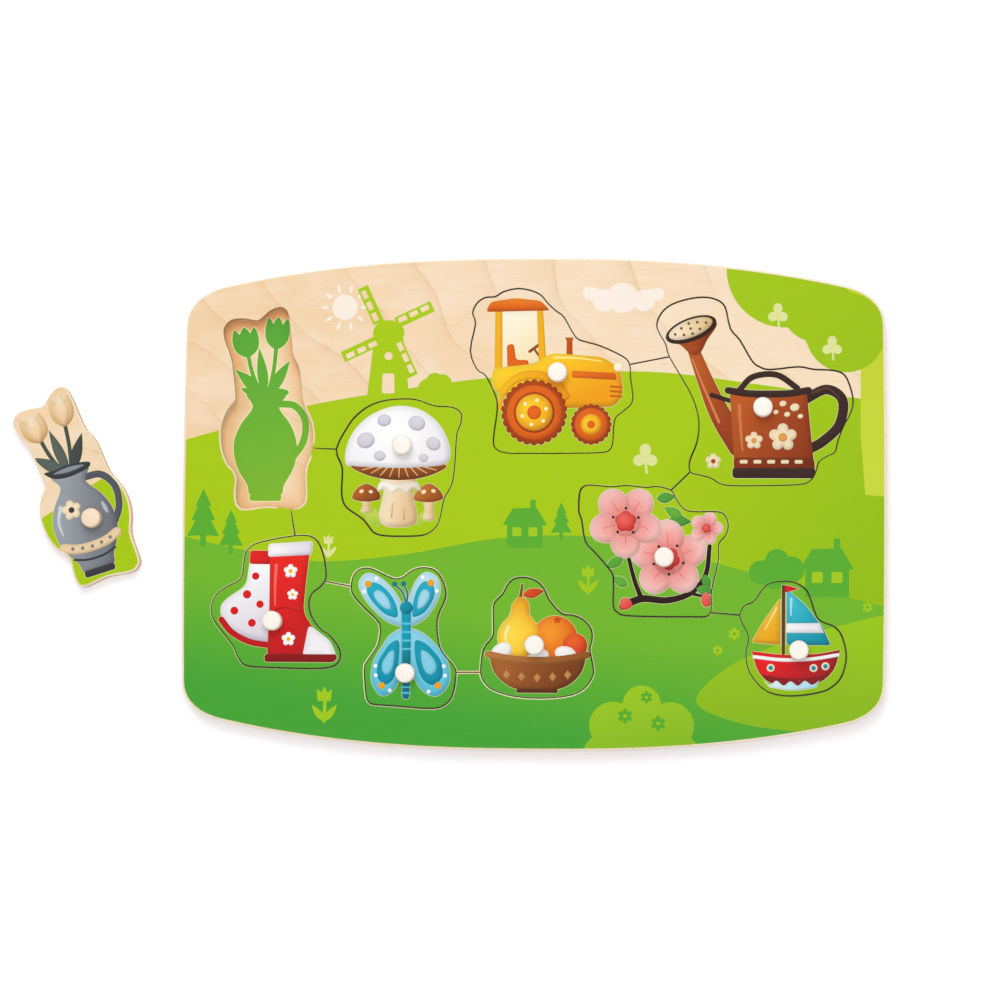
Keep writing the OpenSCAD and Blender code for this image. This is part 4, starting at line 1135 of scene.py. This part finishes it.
# Which way each piece lies against its opening, how much of its edge is black all round (saw burn and painted
# shade of the open gap), and how much the board's edge is chipped beside it (pale, with a painted glint)
sawTraces = {
    "mushroom": (1.0, 0.3, 0.5, 0.25),
    "tractor": (0.3, -0.5, 0.3, 0.0),
    "watering_can": (-0.1, -1.0, 0.5, 0.1),
    "boots": (-0.8, 0.6, 0.4, 0.5),
    "butterfly": (-0.4, 0.7, 0.4, 0.9),
    "fruit_bowl": (-0.3, -0.9, 0.4, 0.9),
    "blossoms": (1.0, 0.5, 0.5, 0.35),
    "sailboat": (-0.9, 0.3, 0.5, 0.2),
    "jug": (0.0, 0.0, 0.0, 0.0),
}
upperPly = printedPlywood("lacquered-printed-birch-plywood", plywood)
lowerPly = printedPlywood("lacquered-birch-plywood",
                          dict(plywood, ply=1.0, shift=(430, -270, 0), wood="#F8E0BC", figure="#F8E0C4"))
toOpening = (
    Matrix.Translation((*sawn["jugLies"], 0)) @ Matrix.Rotation(math.radians(sawn["jugTurn"]), 4, "Z")
    @ Matrix.Translation((-sawn["jugOpening"][0], -sawn["jugOpening"][1], 0))
)
fromLying = toOpening.inverted()


def evenRim(line, rim, ease):
    return np.full(len(line), sawn[rim]), np.full(len(line), sawn[ease])


def finishPiece(piece, body, nodes):
    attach(piece, body)
    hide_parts(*nodes)


pieceLines, pieceCorners = {}, {}
for name in motifs:
    lines = cadLines(name + "_piece")
    if name == "jug":
        lines = [np.array([(fromLying @ Vector((*p, 0))).xy for p in line]) for line in lines]
    pieceLines[name] = lines
    pieceCorners[name] = lines[0].min(0) - sawn["kerf"] / 2
    print("outline", name, [len(line) for line in lines])


def sawTrace(onBoard):           # the traces on one side of the saw line, black burn with painted gap shade and pale chips with a painted glint, and how much each shows where
    def traceOf(points, out, deep):
        nearest = nearestOn(points, [pieceLines[name][0] for name in sawTraces])[1]
        wayX, wayY, burnAndGapShade, chipsAndGlint = np.array(list(sawTraces.values())).T[:, nearest]
        leans = wayX * out[:, 0] + wayY * out[:, 1]
        if onBoard:
            least, most = min(sheetMesh["deepest"]), max(sheetMesh["deepest"])
            left = 1 - sawn["blackFades"] * np.maximum(deep - least, 0) / (most - least)
            shut = np.clip(-leans - sawn["shutFrom"], 0, sawn["palest"])   # the piece lies against the wall
            pale = chipsAndGlint * np.where(deep > 0, shut, np.clip(1 - burnAndGapShade - leans, sawn["leastPale"], 1))
            black = np.clip(burnAndGapShade + leans, 0, sawn["blackest"]) * left
        else:
            pale = sawn["palest"] * np.clip(leans - burnAndGapShade, 0, 1)
            black = np.clip(burnAndGapShade - leans, 0, sawn["blackest"])
        # black: saw burn and painted shade of the open gap; pale: chips and a painted glint
        yield sawn["burnAndGapShade"], black[:, None]
        yield sawn["chipsAndGlint"], pale[:, None]
    return traceOf


for name, motif in motifs.items():
    prints = background + withEdge(placed(motif, *pieceCorners[name]), thin(*sawn["trapInk"]), sawn["trap"])

    def rimOf(number, line):
        rim, ease = ("looseRim", "looseEase") if name == "jug" and number == 0 else ("fineRim", "fineRim")
        return evenRim(line, rim, ease)
    piece = makeSheet(name + "_sheet", pieceLines[name], name + "_piece", rimOf, prints, sawn["gridStep"],
                      settle=toOpening if name == "jug" else None, traceOf=sawTrace(False))
    piece.data.materials.append(upperPly)
    finishPiece(piece, name, [name + "_piece"])

jugLine = pieceLines["jug"][0]


# painted shade that pales down along the empty opening, from its top
def openingFade(first, last, cover):
    return fade(first, last, sawn["fadeFrom"], sawn["fadeTo"], cover)


def boardRims(number, line):
    if number == 0:
        return evenRim(line, "boardRim", "boardEase")
    gap = nearestOn(line, [jugLine])[0]
    reach, end = sawn["beside"]
    share = np.clip((reach - gap) / end, 0, 1)
    way = np.roll(line, -1, 0) - line
    way /= np.linalg.norm(way, axis=1)[:, None]
    before = np.roll(way, 1, 0)
    sharp = line[before[:, 0] * way[:, 1] - before[:, 1] * way[:, 0] > 0.5]
    if len(sharp):               # narrowing towards the corners that the saw cuts leave
        near = np.linalg.norm(line[:, None] - sharp[None], axis=2).min(1)
        share = np.minimum(share, np.clip(near / sawn["narrowing"], 0, 1))
    nearest = nearestOn(line, [pieceLines[name][0] for name in sawTraces])[1]
    chips = np.array([trace[3] for trace in sawTraces.values()])[nearest] * sawn["chipRim"]
    return (sawn["fineRim"] + chips * (1 - share) + (sawn["jugRim"] - sawn["fineRim"]) * share,
            sawn["fineRim"] + (sawn["jugEase"] - sawn["fineRim"]) * share)


board = makeSheet("upper_sheet", cadLines("frame_board"), "frame_board", boardRims, background,
                  sawn["boardStep"], scorchAndShade=openingFade(*sawn["scorchAndShade"]), traceOf=sawTrace(True))
board.data.materials.append(upperPly)
finishPiece(board, "board", ["frame_board"])

shadowInk = fade("#56AC3A", "#7EBA2E", (-120, 80), (-105, 5))
floorLine = grown(jugLine, 0.3)  # runs on under the opening's wall
# painted shadow on the floor of the empty opening, strongest at its walls and towards the upper left
paintedRecessShadow = pooled(openingFade(*sawn["paintedRecessShadow"]), floorLine + sawn["recessShadowShift"], sawn["recessShadowReach"])
figure = [points for name, motif in motifs.items()
          for _, points, *outer in placed(motif, *pieceCorners[name]) if outer]
silhouette = [(paintedRecessShadow, floorLine)]
silhouette += [(thin(*sawn["openTrapInk"]), grown(points, sawn["openTrap"])) for points in figure]
silhouette += [(shadowInk, points) for points in figure]
backing = makeSheet("lower_sheet", cadLines("backing_board"), "backing_board",
                    lambda number, line: evenRim(line, "backingRim", "backingEase"), silhouette,
                    sawn["boardStep"], footRim=sawn["backingFoot"])
backing.data.materials.append(lowerPly)
finishPiece(backing, "board", ["backing_board"])


# Pegs: turned birch, sanded and dipped in a clear satin lacquer, the end grain showing on top

peg = {
    "spigot": 2.5,               # mm, radius inside the drilled piece
    "rounding": 1.0,             # mm, of the head's upper edge
    "footRounding": 0.25,
    "dome": 0.15,
    "segments": 64,
    "wood": "#FFF8EE",
    "looseWood": "#FCE2C4",      # of the peg that lies beside the board
    "looseRing": "#F0CFA6",
    "ring": "#F6E6CE",
    "pore": "#DDBE98",
    "ringSpace": 1.1,            # mm, between year rings
    "heart": (6.5, 2.0, 0),      # mm, where the tree's heart lies from the peg's axis
    "roughness": 0.34,
}


def lacqueredPeg(spec):
    material, add = newMaterial(spec["name"])
    place = add("ShaderNodeAttribute", attribute_name="turnedPlace").outputs["Vector"]
    inPeg = add("ShaderNodeVectorMath", {0: place, "Scale": 1 / mm}, operation="SCALE")
    flat = add("ShaderNodeMapping", {"Vector": inPeg, "Location": spec["heart"], "Scale": (1, 1, 0.04)})
    reach = add("ShaderNodeVectorMath", {0: flat}, operation="LENGTH")
    waver = add("ShaderNodeTexNoise", {"Vector": flat, "Scale": 0.5, "Detail": 2.0})
    wavered = add("ShaderNodeMath", {0: waver, 1: 1.6, 2: reach}, operation="MULTIPLY_ADD")
    rings = add("ShaderNodeMath", {0: wavered, 1: spec["ringSpace"]}, operation="DIVIDE")
    inRing = add("ShaderNodeMath", {0: rings}, operation="FRACT")
    ringShare = add("ShaderNodeMapRange", {"Value": inRing, "From Min": 0.55, "From Max": 0.97,
                                           "To Min": 0.0, "To Max": 0.35})
    pores = add("ShaderNodeTexNoise", {"Vector": flat, "Scale": 7.0, "Detail": 2.0})
    poreShare = add("ShaderNodeMapRange", {"Value": pores, "From Min": 0.6, "From Max": 0.8,
                                           "To Min": 0.0, "To Max": 0.12})
    wood = add("ShaderNodeMix", {0: ringShare, 6: colour(spec["wood"]), 7: colour(spec["ring"])},
               data_type="RGBA")
    shown = add("ShaderNodeMix", {0: poreShare, 6: wood, 7: colour(spec["pore"])}, data_type="RGBA")
    sheen = add("ShaderNodeMath", {0: pores, 1: 0.16, 2: spec["roughness"] - 0.08}, operation="MULTIPLY_ADD")
    bump = add("ShaderNodeBump", {"Height": pores, "Strength": 0.25, "Distance": 0.05 * mm})
    shader = add("ShaderNodeBsdfPrincipled", {"Base Color": shown, "Roughness": sheen, "Normal": bump})
    add("ShaderNodeOutputMaterial", {"Surface": shader})
    return material


pegWood = lacqueredPeg(dict(peg, name="turned-lacquered-birch"))
looseWood = lacqueredPeg(dict(peg, name="turned-lacquered-birch-darkened", wood=peg["looseWood"],
                              ring=peg["looseRing"]))


def pegTree():           # a half outline, its corners eased, swept once round the peg's axis
    tree = bpy.data.node_groups.new("turned peg", "GeometryNodeTree")
    add = partial(addNode, tree)
    tree.interface.new_socket("Geometry", in_out="OUTPUT", socket_type="NodeSocketGeometry")
    for name, value in (("Spigot radius", 0.0025), ("Head radius", 0.004), ("Shoulder", 0.006),
                        ("Height", 0.018), ("Edge rounding", 0.0016), ("Foot rounding", 0.0003),
                        ("Dome", 0.0003)):
        tree.interface.new_socket(name, in_out="INPUT", socket_type="NodeSocketFloat").default_value = value
    tree.interface.new_socket("Segments", in_out="INPUT", socket_type="NodeSocketInt").default_value = 48
    tree.interface.new_socket("Wood", in_out="INPUT", socket_type="NodeSocketMaterial")
    given = add("NodeGroupInput").outputs
    count = add("GeometryNodeMeshLine", {"Count": 6})
    index = add("GeometryNodeInputIndex")
    reach = add("GeometryNodeIndexSwitch", {"Index": index}, data_type="FLOAT")
    height = add("GeometryNodeIndexSwitch", {"Index": index}, data_type="FLOAT")
    ease = add("GeometryNodeIndexSwitch", {"Index": index}, data_type="FLOAT")
    for node in (reach, height, ease):
        for _ in range(4):
            node.index_switch_items.new()
    sunk = add("ShaderNodeMath", {0: given["Height"], 1: given["Dome"]}, operation="SUBTRACT")
    rows = (
        (0.0, 0.0, 0.0), (given["Spigot radius"], 0.0, given["Foot rounding"]),
        (given["Spigot radius"], given["Shoulder"], 0.0),
        (given["Head radius"], given["Shoulder"], given["Foot rounding"]),
        (given["Head radius"], sunk, given["Edge rounding"]), (0.0, given["Height"], 0.0),
    )
    for k, row in enumerate(rows):
        for node, value in zip((reach, height, ease), row):
            feed(tree, node.inputs[k + 1], value)
    down = add("ShaderNodeMath", {0: height, 1: -1.0}, operation="MULTIPLY")   # swept, -Y comes to stand up
    spot = add("ShaderNodeCombineXYZ", {"X": reach, "Y": down})
    bent = add("GeometryNodeSetPosition", {"Geometry": count, "Position": spot})
    outline = add("GeometryNodeMeshToCurve", {"Mesh": bent})
    eased = add("GeometryNodeFilletCurve",
                {"Curve": outline, "Radius": ease, "Limit Radius": True, "Count": 6}, mode="POLY")
    axis = add("GeometryNodeCurvePrimitiveCircle", {"Resolution": given["Segments"], "Radius": 1e-7})
    swept = add("GeometryNodeCurveToMesh", {"Curve": axis, "Profile Curve": eased})
    closed = add("GeometryNodeMergeByDistance", {"Geometry": swept, "Distance": 2e-6})
    here = add("GeometryNodeInputPosition")
    noted = add("GeometryNodeStoreNamedAttribute", {"Geometry": closed, "Name": "turnedPlace", "Value": here},
                data_type="FLOAT_VECTOR", domain="POINT")
    real = add("GeometryNodeRealizeInstances", {"Geometry": noted})
    dressed = add("GeometryNodeSetMaterial", {"Geometry": real, "Material": given["Wood"]})
    add("NodeGroupOutput", {"Geometry": dressed})
    return tree


turned = pegTree()
for name in motifs:
    low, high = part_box(name + "_peg")
    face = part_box(name + "_piece")[1].z
    sizes = {
        "Spigot radius": peg["spigot"] * mm, "Head radius": (high.x - low.x) / 2, "Shoulder": face - low.z,
        "Height": high.z - low.z, "Edge rounding": peg["rounding"] * mm, "Dome": peg["dome"] * mm,
        "Foot rounding": peg["footRounding"] * mm, "Segments": peg["segments"],
        "Wood": looseWood if name == "jug" else pegWood,
    }
    stand = bpy.data.objects.new(name + "_knob", bpy.data.meshes.new(name + "_knob"))
    bpy.context.scene.collection.objects.link(stand)
    modifier = stand.modifiers.new("turning", "NODES")
    modifier.node_group = turned
    for item in turned.interface.items_tree:
        if item.in_out == "INPUT" and item.name in sizes:
            modifier[item.identifier] = sizes[item.name]
    shape = bpy.data.meshes.new_from_object(stand.evaluated_get(bpy.context.evaluated_depsgraph_get()))
    bpy.data.objects.remove(stand)
    bm = bmesh.new()
    bm.from_mesh(shape)
    bmesh.ops.recalc_face_normals(bm, faces=bm.faces)
    bm.to_mesh(shape)
    bm.free()
    shape.transform(Matrix.Translation(((low.x + high.x) / 2, (low.y + high.y) / 2, low.z)))
    shape.shade_smooth()
    shape.name = name + "_knob"
    knob = bpy.data.objects.new(name + "_knob", shape)
    bpy.context.scene.collection.objects.link(knob)
    finishPiece(knob, name, [name + "_peg"])
print("pegs turned")


# Table and light

studio = {
    "floor": "#F5F5FC",
    "lift": 0.22,                # brings the lit floor to white where nothing shades it
    "whiteFrom": 0.5,            # m from the middle, where it begins to rise to pure white
    "whiteBy": 1.5,
    "reach": 4,                  # m, half the floor's width
    "sunk": 0.1,                 # mm, how far the floor lies under the board
    "world": 0.48,
    "softboxes": (               # place and size in m, W
        ((-0.15, 0.8, 1.35), 0.8, 8.0),
        ((0.1, -0.1, 1.9), 1.6, 10.4),
    ),
}


def makeFloor(spec):
    mesh = bpy.data.meshes.new("table")
    ways = ((-1, -1), (1, -1), (1, 1), (-1, 1))
    mesh.from_pydata([(x * spec["reach"], y * spec["reach"], -spec["sunk"] * mm) for x, y in ways], [],
                     [(0, 1, 2, 3)])
    floor = bpy.data.objects.new("table", mesh)
    bpy.context.scene.collection.objects.link(floor)
    material, add = newMaterial("matt-white-paper")
    matt = add("ShaderNodeBsdfDiffuse", {"Color": colour(spec["floor"])})
    path = add("ShaderNodeLightPath").outputs
    seen = add("ShaderNodeMath", {0: path["Is Camera Ray"], 1: path["Is Glossy Ray"]}, operation="ADD")
    seen = add("ShaderNodeMath", {0: seen, 1: path["Is Transmission Ray"]}, operation="ADD")
    spot = add("ShaderNodeNewGeometry").outputs["Position"]
    away = add("ShaderNodeVectorMath", {0: spot}, operation="LENGTH")
    level = add("ShaderNodeMapRange",
                {"Value": away, "From Min": spec["whiteFrom"], "From Max": spec["whiteBy"],
                 "To Min": spec["lift"], "To Max": 1.0})
    lift = add("ShaderNodeMath", {0: seen, 1: level}, operation="MULTIPLY")
    shine = add("ShaderNodeEmission", {"Strength": lift})
    both = add("ShaderNodeAddShader", {0: matt, 1: shine})
    add("ShaderNodeOutputMaterial", {"Surface": both})
    mesh.materials.append(material)


def lightStudio(spec):
    world = bpy.data.worlds.new("studio")
    bpy.context.scene.world = world
    world.use_nodes = True
    background = world.node_tree.nodes["Background"]
    background.inputs["Color"].default_value = (1, 1, 1, 1)
    background.inputs["Strength"].default_value = spec["world"]
    for place, size, power in spec["softboxes"]:
        data = bpy.data.lights.new("softbox", "AREA")
        data.energy = power
        data.size = size
        box = bpy.data.objects.new("softbox", data)
        aim = (-Vector(place)).to_track_quat("-Z", "Y")
        box.matrix_world = Matrix.Translation(place) @ aim.to_matrix().to_4x4()
        bpy.context.scene.collection.objects.link(box)


makeFloor(studio)
lightStudio(studio)
bpy.context.scene.view_settings.view_transform = "Standard"
print("scene ready")
